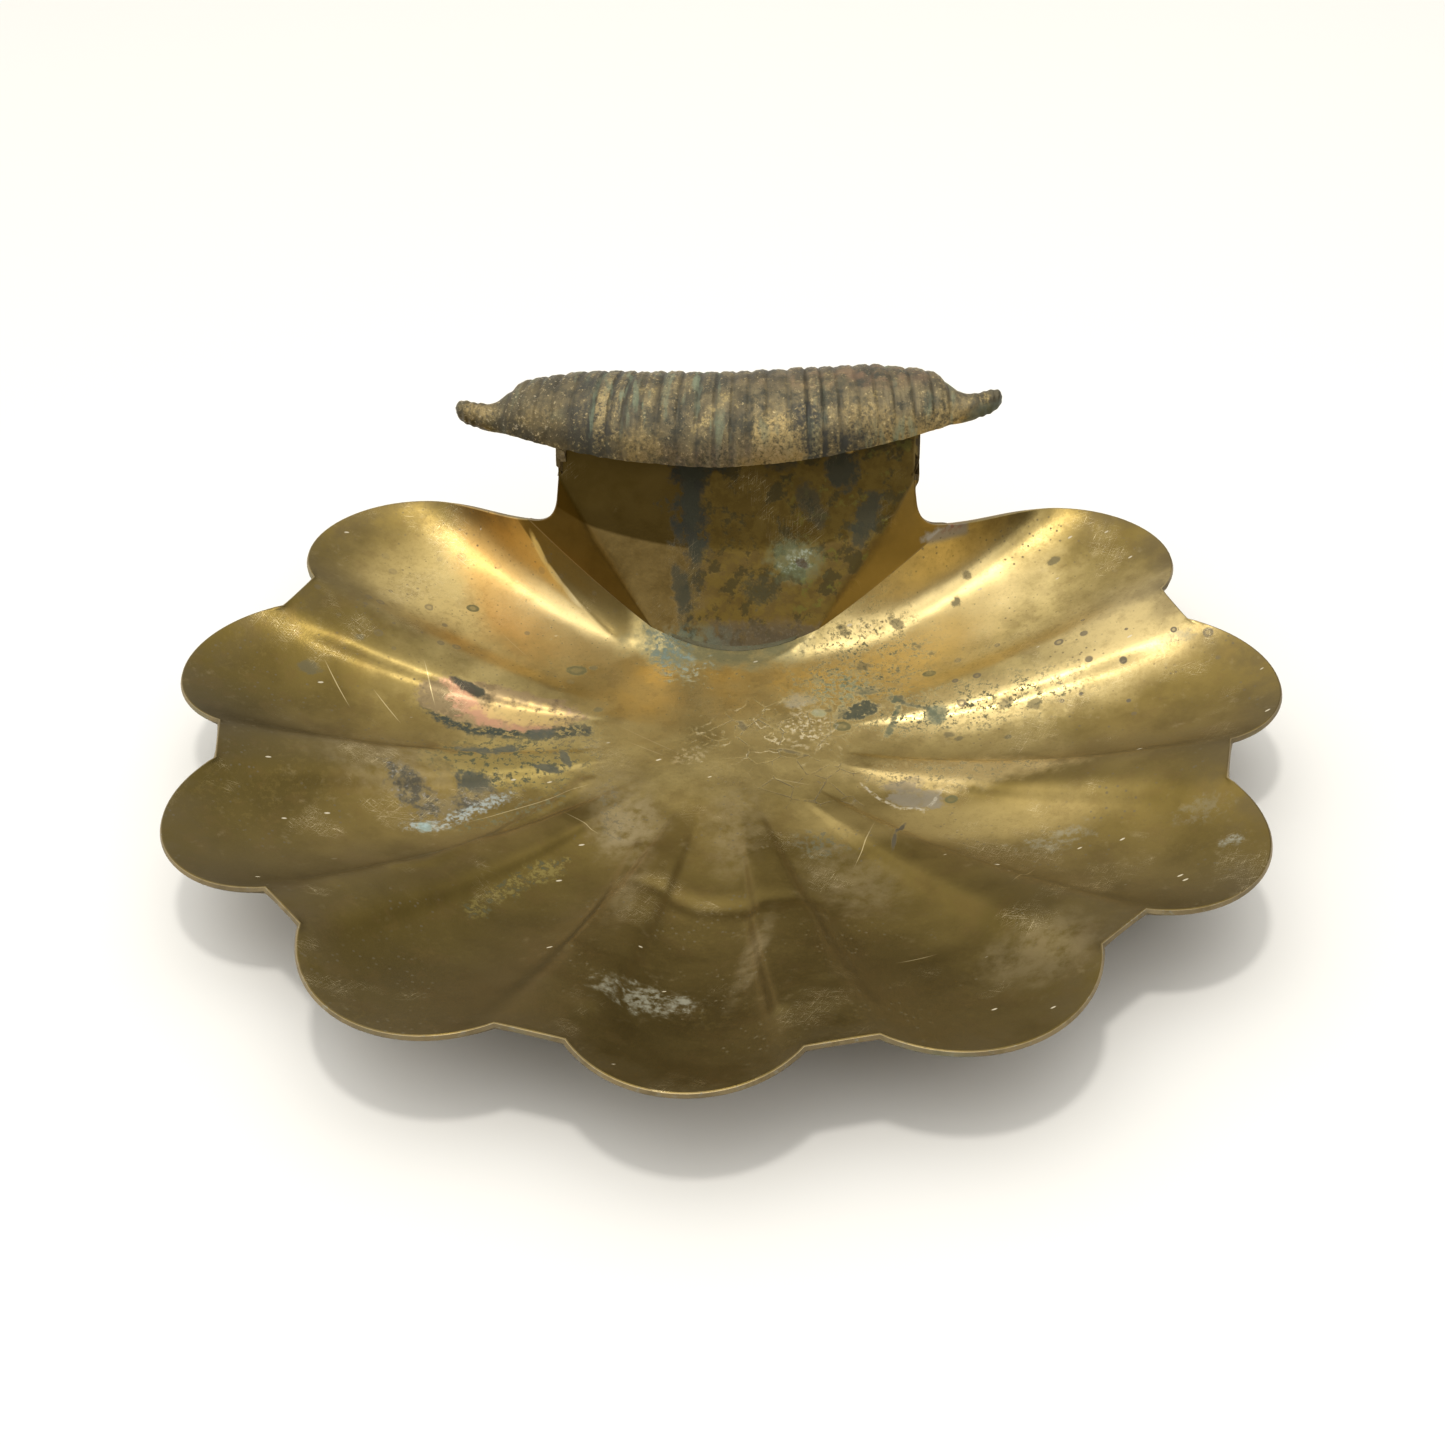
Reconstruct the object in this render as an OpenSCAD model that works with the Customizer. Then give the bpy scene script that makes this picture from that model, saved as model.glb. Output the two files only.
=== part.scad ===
/* [Dish] */
// Radius of the circle through the corners between lobes, mm
corner_radius = 199; // [120:1:300]
// Height of the rim above the resting face, mm
rim_height = 43; // [30:1:90]
// How far the rim circle sits in front of the floor centre, mm
rim_forward = 20; // [0:1:45]
// Angle from one lobe to the next, degrees
lobe_pitch = 31; // [28:0.5:32]
// Share of the pitch taken by the flat band between lobes
band_share = 0.229; // [0.1:0.005:0.4]
// How far a lobe bulges beyond its chord at the rim, mm
lobe_bulge = 28; // [12:1:34]
// How much less the front lobe bulges, mm
front_trim = 8; // [0:0.5:12]
// How far the two front bands are pinched towards the front, degrees
front_pinch = 1; // [0:0.1:3]
// How much deeper a lobe is than the bands beside it, mm
lobe_dip = 6; // [0:0.5:12]
// Radius of the flat floor, mm
floor_radius = 54; // [35:1:70]
// Wall thickness of the dish, mm
dish_wall = 2.2; // [1.2:0.1:4]
// Power of the side profile, larger is flatter near the floor
side_power = 1.8; // [1.1:0.05:2.6]

/* [Neck plate] */
// Sheet thickness of the neck plate, mm
neck_wall = 2; // [1:0.1:4]
// Backward lean of the panel, mm per mm of height
panel_lean = 0.46; // [0:0.01:0.8]
// Half width of the neck where it carries the crest, mm
neck_half = 79; // [60:1:110]
// Half width where the neck meets the rim, mm
shoulder_half = 95.5; // [80:1:130]
// Distance of the shoulder behind the floor centre, mm
shoulder_back = 99; // [70:1:120]
// Rise of the rim where it meets the neck, mm
shoulder_rise = 4; // [0:0.5:10]
// Height of the top edge of the neck, mm
neck_top = 94; // [92:1:115]
// Height where the side fold runs out at the free edge, mm
fold_top = 72; // [66:1:90]

/* [Crest] */
// Sideways shift of the crest from the middle of the neck, mm
crest_shift = -4; // [-8:0.5:8]
// How crooked the crest sits, mm of rise per mm to the right
crest_tilt = 0.0315; // [-0.06:0.0005:0.06]
// Half width of the crest over its tips, mm
crest_half = 119; // [90:1:150]
// Wall thickness of the casting, mm
crest_wall = 3.2; // [2:0.1:6]
// Distance of the front lip behind the floor centre, mm
lip_back = 73; // [50:1:80]
// Height of the front lip at the middle, mm
lip_height = 89; // [85:1:115]
// Depth of the hood from front to back, mm
hood_depth = 60; // [35:1:80]
// Rise of the hood above its lip, mm
hood_rise = 26; // [12:1:40]
// Number of ribs over the hood
rib_count = 27; // [11:2:41]
// Height of a rib, mm
rib_height = 1.3; // [0:0.1:3]

/* [Rivets and solder] */
// Diameter of the rivet shanks, mm
rivet_shank = 3.2; // [2:0.1:6]
// Diameter of the rivet heads, mm
rivet_head = 6.4; // [4:0.1:10]
// Distance from the middle to the inner rivets, mm
rivet_inner = 22; // [10:1:40]
// Distance from the middle to the outer rivets, mm
rivet_outer = 50; // [40:1:62]
// Height of the rivet row, mm
rivet_row = 85; // [80:0.5:88]
// Width of the side strap, mm
strap_width = 4.4; // [3.5:0.1:8]
// Thickness of the side strap, mm
strap_thick = 1.6; // [1:0.1:3]

/* [Hidden] */
lobes = 9;
lobe_cols = 12;
back_cols = 8;
rows = 14;
foot_row = 3;
seam_power = 1.3;
foot_u = 0.3;
half_lobe = lobe_pitch * (1 - band_share) / 2;
side_rise = rim_height - dish_wall;
brass = [0.68, 0.55, 0.28];
dark_brass = [0.45, 0.40, 0.27];
solder_grey = [0.55, 0.54, 0.50];

// small helpers
function mix(a, b, t) = a + (b - a) * t;
function unit(v) = v / norm(v);
function flip(p) = [-p[0], p[1], p[2]];
function bez3(a, b, c, t) = (1 - t) * (1 - t) * a + 2 * t * (1 - t) * b + t * t * c;
function bez4(a, b, c, d, t) =
  pow(1 - t, 3) * a + 3 * t * pow(1 - t, 2) * b + 3 * t * t * (1 - t) * c + pow(t, 3) * d;
function bearing(k) = -90 - (5 - k) * lobe_pitch;
function rim_xy(a) = corner_radius * [cos(a), sin(a)] - [0, rim_forward];

// ---- plan of the rim -------------------------------------------------
// corner at one side of a lobe, side is -1 or 1
function corner(k, side) =
  let (near = abs(k - 5 + side / 2) < 1 ? sign(5 - k - side / 2) : 0)
  rim_xy(bearing(k) + side * half_lobe + near * front_pinch);
function bulge(k) = lobe_bulge - front_trim * max(0, 1 - abs(k - 5) / 2);
function lobe_arc(k) =
  let (c = norm(corner(k, 1) - corner(k, -1)) / 2, b = bulge(k), r = (c * c + b * b) / (2 * b))
  [r, asin(c / r)];
// v runs from -1 to 1 across a lobe, and may run past them
function lobe_rim(k, v) =
  let (p = corner(k, -1), q = corner(k, 1), t = unit(q - p), arc = lobe_arc(k), a = v * arc[1])
  (p + q) / 2 + [t[1], -t[0]] * (bulge(k) - arc[0] + arc[0] * cos(a)) + t * arc[0] * sin(a);
function lobe_chord(k, v) =
  let (a = lobe_arc(k)[1])
  mix(corner(k, -1), corner(k, 1), (1 + sin(v * a) / sin(a)) / 2);

// the first and last lobes run out into the shoulders of the neck
shoulder = [-shoulder_half, shoulder_back];
end_v = -0.85;
end_start = lobe_rim(1, end_v);
end_slope = unit(lobe_rim(1, end_v + 0.01) - end_start);
function end_rim(s) = s < 0.45
  ? bez4(shoulder, shoulder + [-16, 6], end_start - end_slope * 16, end_start, s / 0.45)
  : lobe_rim(1, mix(end_v, 1, (s - 0.45) / 0.55));
function end_chord(s) = mix(shoulder, corner(1, 1), s);

// ---- columns of the dish: [rim point, chord point, floor bearing, depth share, lift] ----
seam_foot = 104;
function bearing_of(p) = let (a = atan2(p[1], p[0])) a < 89.9 ? a + 360 : a;
edge_bearing = bearing_of(end_chord(1));
function end_col(s) = [end_rim(s), end_chord(s), mix(seam_foot, edge_bearing, s),
  pow(sin(180 * s), 2) * 0.9, shoulder_rise * pow(max(0, 1 - s / 0.45), 2)];
function lobe_col(k, v) =
  [lobe_rim(k, v), lobe_chord(k, v), bearing_of(lobe_chord(k, v)), 1 - v * v, 0];
function mirror_col(c) = [[-c[0][0], c[0][1]], [-c[1][0], c[1][1]], 540 - c[2], c[3], c[4]];
left_end = [for (i = [0 : lobe_cols + 3]) end_col(i / (lobe_cols + 3))];
middle = [for (k = [2 : lobes - 1], i = [0 : lobe_cols]) lobe_col(k, -1 + 2 * i / lobe_cols)];
right_end = [for (i = [lobe_cols + 3 : -1 : 0]) mirror_col(left_end[i])];
cols = concat(left_end, middle, right_end);
nc = len(cols);

// ---- inner surface ---------------------------------------------------
function level(j) = j < foot_row ? foot_u * j / foot_row
  : mix(foot_u, 1, (j - foot_row) / (rows - foot_row));
function dip_shape(u) = sin(180 * pow(u, 0.75)) * 0.8 + 0.2 * u;
function skin(c, u) =
  let (f = floor_radius * [cos(c[2]), sin(c[2])],
    p = mix(f, c[1], u) + (c[0] - c[1]) * pow(u, 1.15),
    k = mix(seam_power, side_power, min(1, c[4] < 0.01 ? 1 : 1 - c[4] / shoulder_rise)),
    z = dish_wall + side_rise * pow(u, k) + c[4] * u * u - lobe_dip * c[3] * dip_shape(u) * pow(u, 0.6))
  [p[0], p[1], max(dish_wall, z)];
function seam(j) = skin(cols[0], level(j));

// back part of the floor, up to the foot of the neck panel
panel_down = unit([0, -panel_lean, -1]);
panel_back = unit([0, 1, -panel_lean]);
corner_l = seam(foot_row);
function on_panel(x, z) = [x, corner_l[1] + panel_lean * (z - corner_l[2]), z];
function foot(w) =
  let (x = mix(-corner_l[0], corner_l[0], w), k = x / corner_l[0])
  abs(k) > 0.999 ? [x, corner_l[1], corner_l[2]]
    : on_panel(x, mix(dish_wall, corner_l[2], k * k));
function back_skin(w, j) =
  let (a = mix(180 - seam_foot, seam_foot, w),
    f = [floor_radius * cos(a), floor_radius * sin(a), dish_wall],
    q = mix(f, foot(w), level(j) / foot_u))
  [q[0], q[1], mix(dish_wall, foot(w)[2], pow(level(j) / foot_u, side_power))];

// ---- neck boundary, from the foot corner up the seam and the free edge ----
fold_end = on_panel(-neck_half, fold_top);
function on_edge(z) = on_panel(-neck_half, z);
seam_pts = [for (j = [foot_row : rows]) seam(j)];
wing_n = unit(cross(corner_l - seam(rows), fold_end - seam(rows)));
function on_wing(x, z) = [x, (wing_n * seam(rows) - wing_n[0] * x - wing_n[2] * z) / wing_n[1], z];
bend = on_wing(13 - shoulder_half, rim_height + shoulder_rise + 1);
bend_end = on_wing(-neck_half - 1.5, rim_height + 18);
bend_pts = [for (i = [1 : 5]) bez3(seam(rows), bend, bend_end, i / 5)];
edge_pts = concat(seam_pts, bend_pts, [fold_end, on_edge(neck_top - 11), on_edge(neck_top)]);
ne = len(edge_pts);
n_fold = len(seam_pts) + 5;
foot_corner = edge_pts[0];
last_seam = len(seam_pts) - 1;
function rise_share(j) = (edge_pts[j][2] - foot_corner[2]) / (fold_end[2] - foot_corner[2]);
function fold_pt(j) = j >= n_fold ? edge_pts[j] : mix(foot_corner, fold_end, rise_share(j));

// columns c: 0 left edge, 1 left fold .. wide - 2 right fold, wide - 1 right edge
wide = back_cols + 3;
function foot_lap(f) = (f[2] - 1.1 - 0.35 * (f[2] - dish_wall)) / -panel_down[2];
function foot_of(c) = foot(1 - (min(max(c, 1), wide - 2) - 1) / back_cols);
function neck_pt(j, c) =
  j < 0 ? foot_of(c) + panel_down * foot_lap(foot_of(c))
  : j == 0 ? foot_of(c)
  : c == 0 ? edge_pts[j]
  : c == wide - 1 ? flip(edge_pts[j])
  : mix(fold_pt(j), flip(fold_pt(j)), (c - 1) / back_cols);

// the dish and the neck share one mitred face along each seam
function wing_face(j) =
  let (side = fold_pt(j) - edge_pts[j])
  unit(cross(side, j > last_seam ? fold_end - foot_corner
    : edge_pts[min(j + 1, last_seam)] - edge_pts[j - 1]));
function seam_face(j) =
  let (up = seam(min(j + 1, rows)) - seam(j - 1), side = skin(cols[1], level(j)) - seam(j))
  unit(cross(up, side));
function mitre(j) =
  let (a = wing_face(j - foot_row), b = seam_face(j))
  -(a + b) / max(0.6, 1 + a * b) * (dish_wall + neck_wall) / 2;
function neck_back(j, c) =
  j <= 0 || j >= n_fold || (c > 0 && c < wide - 1) ? neck_pt(j, c) + panel_back * neck_wall
  : let (m = j < len(seam_pts) ? mitre(j + foot_row) : -wing_face(j) * neck_wall)
    neck_pt(j, c) + (c == 0 ? m : flip(m));

// ---- closed sheet from two grids -------------------------------------
function tri(a, b, c) = a == b || b == c || a == c ? [] : [[a, b, c]];
function quad(a, b, c, d) = concat(tri(a, b, c), tri(a, c, d));
function wall_of(p, q, n) = p == q ? [] : quad(p, q, q + n, p + n);
function join(l) = [for (a = l, b = a) b];

function nid(j, c) = let (end = j <= 0 || j >= n_fold)
  (j + 1) * wide + (end ? min(max(c, 1), wide - 2) : c);
neck_n = (ne + 1) * wide;
neck_points = concat([for (j = [-1 : ne - 1], c = [0 : wide - 1]) neck_pt(j, c)],
  [for (j = [-1 : ne - 1], c = [0 : wide - 1]) neck_back(j, c)]);
neck_front = join([for (j = [-1 : ne - 2], c = [0 : wide - 2])
  quad(nid(j, c), nid(j + 1, c), nid(j + 1, c + 1), nid(j, c + 1))]);
neck_rim = concat(
  [for (c = [0 : wide - 2]) [nid(-1, c), nid(-1, c + 1)]],
  [for (j = [-1 : ne - 2]) [nid(j, wide - 1), nid(j + 1, wide - 1)]],
  [for (c = [wide - 1 : -1 : 1]) [nid(ne - 1, c), nid(ne - 1, c - 1)]],
  [for (j = [ne - 1 : -1 : 0]) [nid(j, 0), nid(j - 1, 0)]]);

module neck_sheet() {
  polyhedron(points = neck_points, faces = concat(neck_front,
    [for (f = neck_front) [f[0] + neck_n, f[2] + neck_n, f[1] + neck_n]],
    join([for (e = neck_rim) wall_of(e[0], e[1], neck_n)])), convexity = 6);
}

// ---- dish ------------------------------------------------------------
function face_at(c, j) =
  let (u = skin(cols[c], level(min(j + 1, rows))) - skin(cols[c], level(j - 1)),
    v = skin(cols[c + 1], level(j)) - skin(cols[c - 1], level(j)))
  unit(cross(u, v));
foot_drop = panel_down * dish_wall / -panel_down[2];
function dish_under(c, j) =
  let (p = skin(cols[c], level(j)), side = c == 0 || c == nc - 1)
  j == 0 ? [p[0], p[1], 0]
  : side && j < foot_row ? p - [0, 0, dish_wall]
  : side && j == foot_row ? p + foot_drop
  : side ? p + (c == 0 ? mitre(j) : flip(mitre(j)))
  : let (q = p - face_at(c, j) * dish_wall) [q[0], q[1], max(0, q[2])];
back_n = back_cols - 1;
ring = nc + back_n;
// ring index: main columns first, then the columns behind the floor
function did(j, c) = let (k = c % ring)
  k < nc ? 1 + j * nc + k : 1 + (rows + 1) * nc + j * back_n + k - nc;
dish_n = 1 + (rows + 1) * nc + (foot_row + 1) * back_n;
dish_points = concat([[0, 0, dish_wall]],
  [for (j = [0 : rows], c = [0 : nc - 1]) skin(cols[c], level(j))],
  [for (j = [0 : foot_row], i = [1 : back_n]) back_skin(i / back_cols, j)],
  [[0, 0, 0]],
  [for (j = [0 : rows], c = [0 : nc - 1]) dish_under(c, j)],
  [for (j = [0 : foot_row], i = [1 : back_n]) back_skin(i / back_cols, j)
    + (j == foot_row ? foot_drop : [0, 0, -dish_wall])]);
dish_inner = concat(
  [for (c = [0 : ring - 1]) [0, did(0, c + 1), did(0, c)]],
  join([for (j = [0 : rows - 1], c = [0 : nc - 2])
    quad(did(j, c), did(j, c + 1), did(j + 1, c + 1), did(j + 1, c))]),
  join([for (j = [0 : foot_row - 1], c = [nc - 1 : ring - 1])
    quad(did(j, c), did(j, c + 1), did(j + 1, c + 1), did(j + 1, c))]));
dish_rim = concat(
  [for (c = [0 : nc - 2]) [did(rows, c), did(rows, c + 1)]],
  [for (j = [foot_row : rows - 1]) [did(j, 0), did(j + 1, 0)]],
  [for (j = [foot_row : rows - 1]) [did(j + 1, nc - 1), did(j, nc - 1)]],
  [for (c = [nc - 1 : ring - 1]) [did(foot_row, c), did(foot_row, c + 1)]]);

module dish() {
  color(brass) polyhedron(points = dish_points, faces = concat(dish_inner,
    [for (f = dish_inner) [f[0] + dish_n, f[2] + dish_n, f[1] + dish_n]],
    join([for (e = dish_rim) wall_of(e[0], e[1], dish_n)])), convexity = 10);
}

// ---- crest -----------------------------------------------------------
// s runs from 0 at the middle to 1 at a tip
tip_start = 0.91;
tip_n = 14;
sections = 3 * rib_count + 2 * tip_n;
arch_n = 10;
function ease(t) = let (k = min(max(t, 0), 1)) k * k * (3 - 2 * k);
function lip_y(s) = lip_back + 25 * pow(s, 2.2);
function lip_z(s) = lip_height + 12 * pow(s, 1.7);
function heel_y(s) = lip_back + hood_depth - 25 * pow(s, 4.5);
function top_z(s) = lip_height + hood_rise - 2.5 * ease((s - 0.55) / 0.2) - 6 * ease((s - 0.72) / 0.22);
flange_low = rivet_row - 10.6;
flange_high = rivet_row + 6;
function neck_rear(z) = on_panel(0, z)[1] + neck_wall * norm([1, panel_lean]);
function mid_y(s) = (lip_y(s) + heel_y(s)) / 2;
function hood_pt(s, a, off) =
  let (w = max((heel_y(s) - lip_y(s)) / 2 - off, 0.5), z0 = lip_z(s))
  [mid_y(s) - w * cos(a), z0 + max(top_z(s) - z0 - off, 0.5) * sin(a)];
// ringed finial at each tip, curling upwards a little
function tip_share(s) = max(0, (s - tip_start) / (1 - tip_start));
function ring_r(t) = (5.6 - 0.5 * t + 0.45 * cos(1260 * t)) * sqrt(max(0.03, 1 - pow(t, 12)));
function tip_y(s) = mix(lip_y(s), lip_y(min(s, tip_start)), 0.65) + 5.5;
function tip_pt(s, a, off) =
  let (t = tip_share(s), r = off > 0 ? 0.5 : ring_r(t) - 0.3 * off, b = -62 + 304 * a / 180)
  [tip_y(s) - r * cos(b), lip_z(s) + 1.8 + 1.2 * t * t + r * sin(b)];
function arch_pt(s, a, off) =
  mix(hood_pt(s, a, off), tip_pt(s, a, off), ease((s - 0.78) / (tip_start - 0.78)));
function askew(x) = crest_tilt * (x + 0.5 * abs(x));
// how much of the rear skirt and flange is present at x
function skirt(x) = 1 - 0.94 * ease((abs(x + crest_shift) - 64) / 12);
function toward(p, q, k) = p + (q - p) * k;
function crest_loop(x, rib) =
  let (s = abs(x) / crest_half, k = skirt(x), w = min(crest_wall, (heel_y(s) - lip_y(s)) / 2 - 1),
    up = [0, askew(x)], t = crest_wall * norm([1, panel_lean]),
    hot = arch_pt(s, 180, 0) + up, hit = arch_pt(s, 180, w) + up)
  concat(
    [for (i = [0 : arch_n]) up + arch_pt(s, 180 * i / arch_n, -rib * sin(15 + 150 * i / arch_n))],
    [toward(hot, [neck_rear(flange_low) + 22, flange_low + 7], k),
     toward(hot, [neck_rear(flange_low) + 11, flange_low + 1], k),
     toward(hot, [neck_rear(flange_low), flange_low], k),
     toward(hot, [neck_rear(flange_high), flange_high], k),
     toward(hit, [neck_rear(flange_high) + t, flange_high], k),
     toward(hit, [neck_rear(flange_low) + t, flange_low + 4.4], k),
     toward(hit, [neck_rear(flange_low) + 10.5, flange_low + 4.6], k),
     toward(hit, [neck_rear(flange_low) + 20, flange_low + 10], k)],
    [for (i = [arch_n : -1 : 0]) up + arch_pt(s, 180 * i / arch_n, w)]);
loop_n = 2 * (arch_n + 1) + 8;
function rib_wave(i) = (i - tip_n) % 3 == 0 || i < tip_n || i > sections - tip_n ? 0 : rib_height;
tip_x = tip_start * crest_half;
function section_x(i) = i < tip_n ? -crest_half + (crest_half - tip_x) * i / tip_n
  : i > sections - tip_n ? crest_half - (crest_half - tip_x) * (sections - i) / tip_n
  : tip_x * (2 * (i - tip_n) / (sections - 2 * tip_n) - 1);
// ribs lean outwards towards the lip
function fan(x, p) = let (s = abs(x) / crest_half, k = (p[0] - lip_y(s)) / (heel_y(s) - lip_y(s)))
  x - sign(x) * 7 * sin(180 * pow(s, 1.3)) * min(1, max(0, k));
crest_points = [for (i = [0 : sections], p = crest_loop(section_x(i), rib_wave(i)))
  [fan(section_x(i), p) + crest_shift, p[0], p[1]]];
function cid(i, j) = i * loop_n + j % loop_n;
crest_skin = join([for (i = [0 : sections - 1], j = [0 : loop_n - 1])
  quad(cid(i, j), cid(i, j + 1), cid(i + 1, j + 1), cid(i + 1, j))]);
// pairs of loop points facing each other through the wall, for the end faces
function mate(j) = loop_n - 1 - j;
crest_ends = join([for (j = [0 : loop_n / 2 - 2]) concat(
  quad(cid(0, j), cid(0, mate(j)), cid(0, mate(j + 1)), cid(0, j + 1)),
  quad(cid(sections, j), cid(sections, j + 1), cid(sections, mate(j + 1)), cid(sections, mate(j))))]);

module crest() {
  color(dark_brass) difference() {
    polyhedron(points = crest_points, faces = concat(crest_skin, crest_ends), convexity = 8);
    rivet_holes();
  }
}

// ---- rivets, strap and solder ----------------------------------------
lean_angle = atan(panel_lean);
module at_panel(x, z) {
  translate(on_panel(x, z))
    rotate([-90 - lean_angle, 0, 0])
      children();
}
module rivet_spots() {
  for (x = [-rivet_outer, -rivet_inner, rivet_inner, rivet_outer])
    at_panel(x, rivet_row)
      children();
}
module rivet_holes() {
  rivet_spots()
    translate([0, 0, -6])
      cylinder(d = rivet_shank, h = 18, $fn = 32);
}
dome = 2.1;
module rivet_head_shape() {
  rotate_extrude($fn = 32)
    intersection() {
      translate([0, dome - rivet_head * rivet_head / 8 / dome - dome / 2])
        circle(r = rivet_head * rivet_head / 8 / dome + dome / 2, $fn = 48);
      square([rivet_head, dome + 1]);
    }
}
module rivets() {
  grip = neck_wall + crest_wall;
  color(brass) rivet_spots() {
    cylinder(d = rivet_shank, h = grip, $fn = 32);
    translate([0, 0, grip])
      rivet_head_shape();
    mirror([0, 0, 1])
      rivet_head_shape();
  }
}
strap_x = -neck_half + strap_width / 2 - 0.8;
module strap_spot() {
  at_panel(strap_x, rivet_row - 4)
    children();
}
module neck() {
  color(brass) difference() {
    neck_sheet();
    rivet_holes();
    strap_spot()
      translate([0, 0, -6])
        cylinder(d = 2.4, h = 18, $fn = 32);
  }
}
module side_strap() {
  color(dark_brass) strap_spot() difference() {
    translate([-strap_width / 2, -15, -strap_thick])
      cube([strap_width, 18.2, strap_thick]);
    translate([0, 0, -6])
      cylinder(d = 2.4, h = 12, $fn = 32);
  }
}
module strap_pin() {
  color(brass) strap_spot() {
    translate([0, 0, -strap_thick - 1.2])
      cylinder(d = 4, h = 1.2, $fn = 32);
    translate([0, 0, -strap_thick])
      cylinder(d = 2.4, h = neck_wall + strap_thick, $fn = 32);
    translate([0, 0, neck_wall])
      cylinder(d = 4, h = 1, $fn = 32);
  }
}

// beads: [crown, edge on the dish, ridge, edge on the neck] along the back of each seam
bead = 3;
function step_to(p, q, d) = p + (q - p) * min(1, d / norm(q - p));
function seam_bead(j) =
  let (m = seam(j) + mitre(j))
  [m + unit(mitre(j)) * 1.3, step_to(m, dish_under(1, j), bead), m,
    step_to(m, neck_back(j - foot_row, 1), bead)];
function foot_bead(i) =
  let (w = i / (2 * back_cols), f = foot(w))
  [f, step_to(f, back_skin(w, foot_row - 1), 1.4), f - panel_down * 1.4];
module prism(rings, n) {
  k = len(rings[0]);
  polyhedron(points = join(rings), faces = concat([for (i = [1 : k - 2]) [0, i, i + 1]],
    join([for (i = [0 : n - 2], m = [0 : k - 1])
      quad(k * i + m, k * i + k + m, k * i + k + (m + 1) % k, k * i + (m + 1) % k)]),
    [for (i = [1 : k - 2]) [k * n - k, k * n - k + i + 1, k * n - k + i]]), convexity = 4);
}
module solder_left() {
  color(solder_grey)
    prism([for (j = [foot_row + 1 : rows - 1]) seam_bead(j)], rows - foot_row - 1);
}
module solder_right() {
  color(solder_grey)
    mirror([1, 0, 0])
      prism([for (j = [foot_row + 1 : rows - 1]) seam_bead(j)], rows - foot_row - 1);
}
module solder_foot() {
  color(solder_grey)
    prism([for (i = [1 : back_cols - 1]) foot_bead(2 * i)], back_cols - 1);
}

dish();
neck();
crest();
solder_left();
solder_right();
solder_foot();
rivets();
side_strap();
strap_pin();
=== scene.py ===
import math

import bpy
import numpy as np
from mathutils import Matrix, Vector, noise


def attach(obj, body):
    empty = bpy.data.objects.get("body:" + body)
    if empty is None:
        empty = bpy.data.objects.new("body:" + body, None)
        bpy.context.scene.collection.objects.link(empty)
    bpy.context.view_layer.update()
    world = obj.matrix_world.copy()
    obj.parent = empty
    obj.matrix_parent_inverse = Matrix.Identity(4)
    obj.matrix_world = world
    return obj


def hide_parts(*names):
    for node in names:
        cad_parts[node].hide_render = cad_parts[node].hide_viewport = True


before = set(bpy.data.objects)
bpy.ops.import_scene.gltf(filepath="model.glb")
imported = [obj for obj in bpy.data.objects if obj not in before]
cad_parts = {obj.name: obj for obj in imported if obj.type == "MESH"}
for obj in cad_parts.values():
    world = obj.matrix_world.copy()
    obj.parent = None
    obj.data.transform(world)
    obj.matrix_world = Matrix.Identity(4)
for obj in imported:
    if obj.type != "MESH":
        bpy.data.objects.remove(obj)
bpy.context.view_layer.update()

MM = 0.001
rad, sin, cos = math.radians, math.sin, math.cos

# ---------------------------------------------------------------- sizes, mm
RADIUS, RIM, FORWARD, PITCH, BAND = 199.0, 43.0, 20.0, 31.0, 0.229
BULGE, TRIM, PINCH, DIP = 28.0, 8.0, 1.0, 6.0
FLOOR, WALL, SIDE, SEAM = 54.0, 2.2, 1.8, 1.3
NECK_WALL, LEAN, NECK_HALF, SHOULDER, SHOULDER_Y, LIFT = 2.0, 0.46, 79.0, 95.5, 99.0, 4.0
NECK_TOP, FOLD_TOP = 94.0, 72.0
CREST_X, CREST_TILT, CREST, CREST_WALL = -4.0, 0.0315, 119.0, 3.2
LIP_Y, LIP_Z, HOOD, HOOD_RISE = 73.0, 89.0, 60.0, 26.0
RIVET_Z, FOOT_U, SEAM_FOOT = 85.0, 0.3, 104.0
HALF_LOBE = PITCH * (1 - BAND) / 2


def unit(v):
    v = np.asarray(v, float)
    return v / np.maximum(np.linalg.norm(v, axis=-1, keepdims=True), 1e-12)


def mix(a, b, t):
    return a + (b - a) * t


def ease(t):
    k = np.clip(t, 0, 1)
    return k * k * (3 - 2 * k)


# ---------------------------------------------------------------- plan of the rim
def bearing(k):
    return -90 - (5 - k) * PITCH


def rim_xy(a):
    return np.array([RADIUS * cos(rad(a)), RADIUS * sin(rad(a)) - FORWARD])


def corner(k, side):
    near = np.sign(5 - k - side / 2) if abs(k - 5 + side / 2) < 1 else 0
    return rim_xy(bearing(k) + side * HALF_LOBE + near * PINCH)


def lobe_arc(k):
    half = np.linalg.norm(corner(k, 1) - corner(k, -1)) / 2
    out = BULGE - TRIM * max(0, 1 - abs(k - 5) / 2)
    r = (half * half + out * out) / (2 * out)
    return r, math.asin(half / r), out


def lobe_rim(k, v):
    p, q = corner(k, -1), corner(k, 1)
    t = unit(q - p)
    r, a, out = lobe_arc(k)
    return (p + q) / 2 + np.array([t[1], -t[0]]) * (out - r + r * cos(v * a)) + t * r * sin(v * a)


def lobe_chord(k, v):
    a = lobe_arc(k)[1]
    return mix(corner(k, -1), corner(k, 1), (1 + sin(v * a) / sin(a)) / 2)


def bez4(a, b, c, d, t):
    return (1 - t) ** 3 * a + 3 * t * (1 - t) ** 2 * b + 3 * t * t * (1 - t) * c + t ** 3 * d


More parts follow.
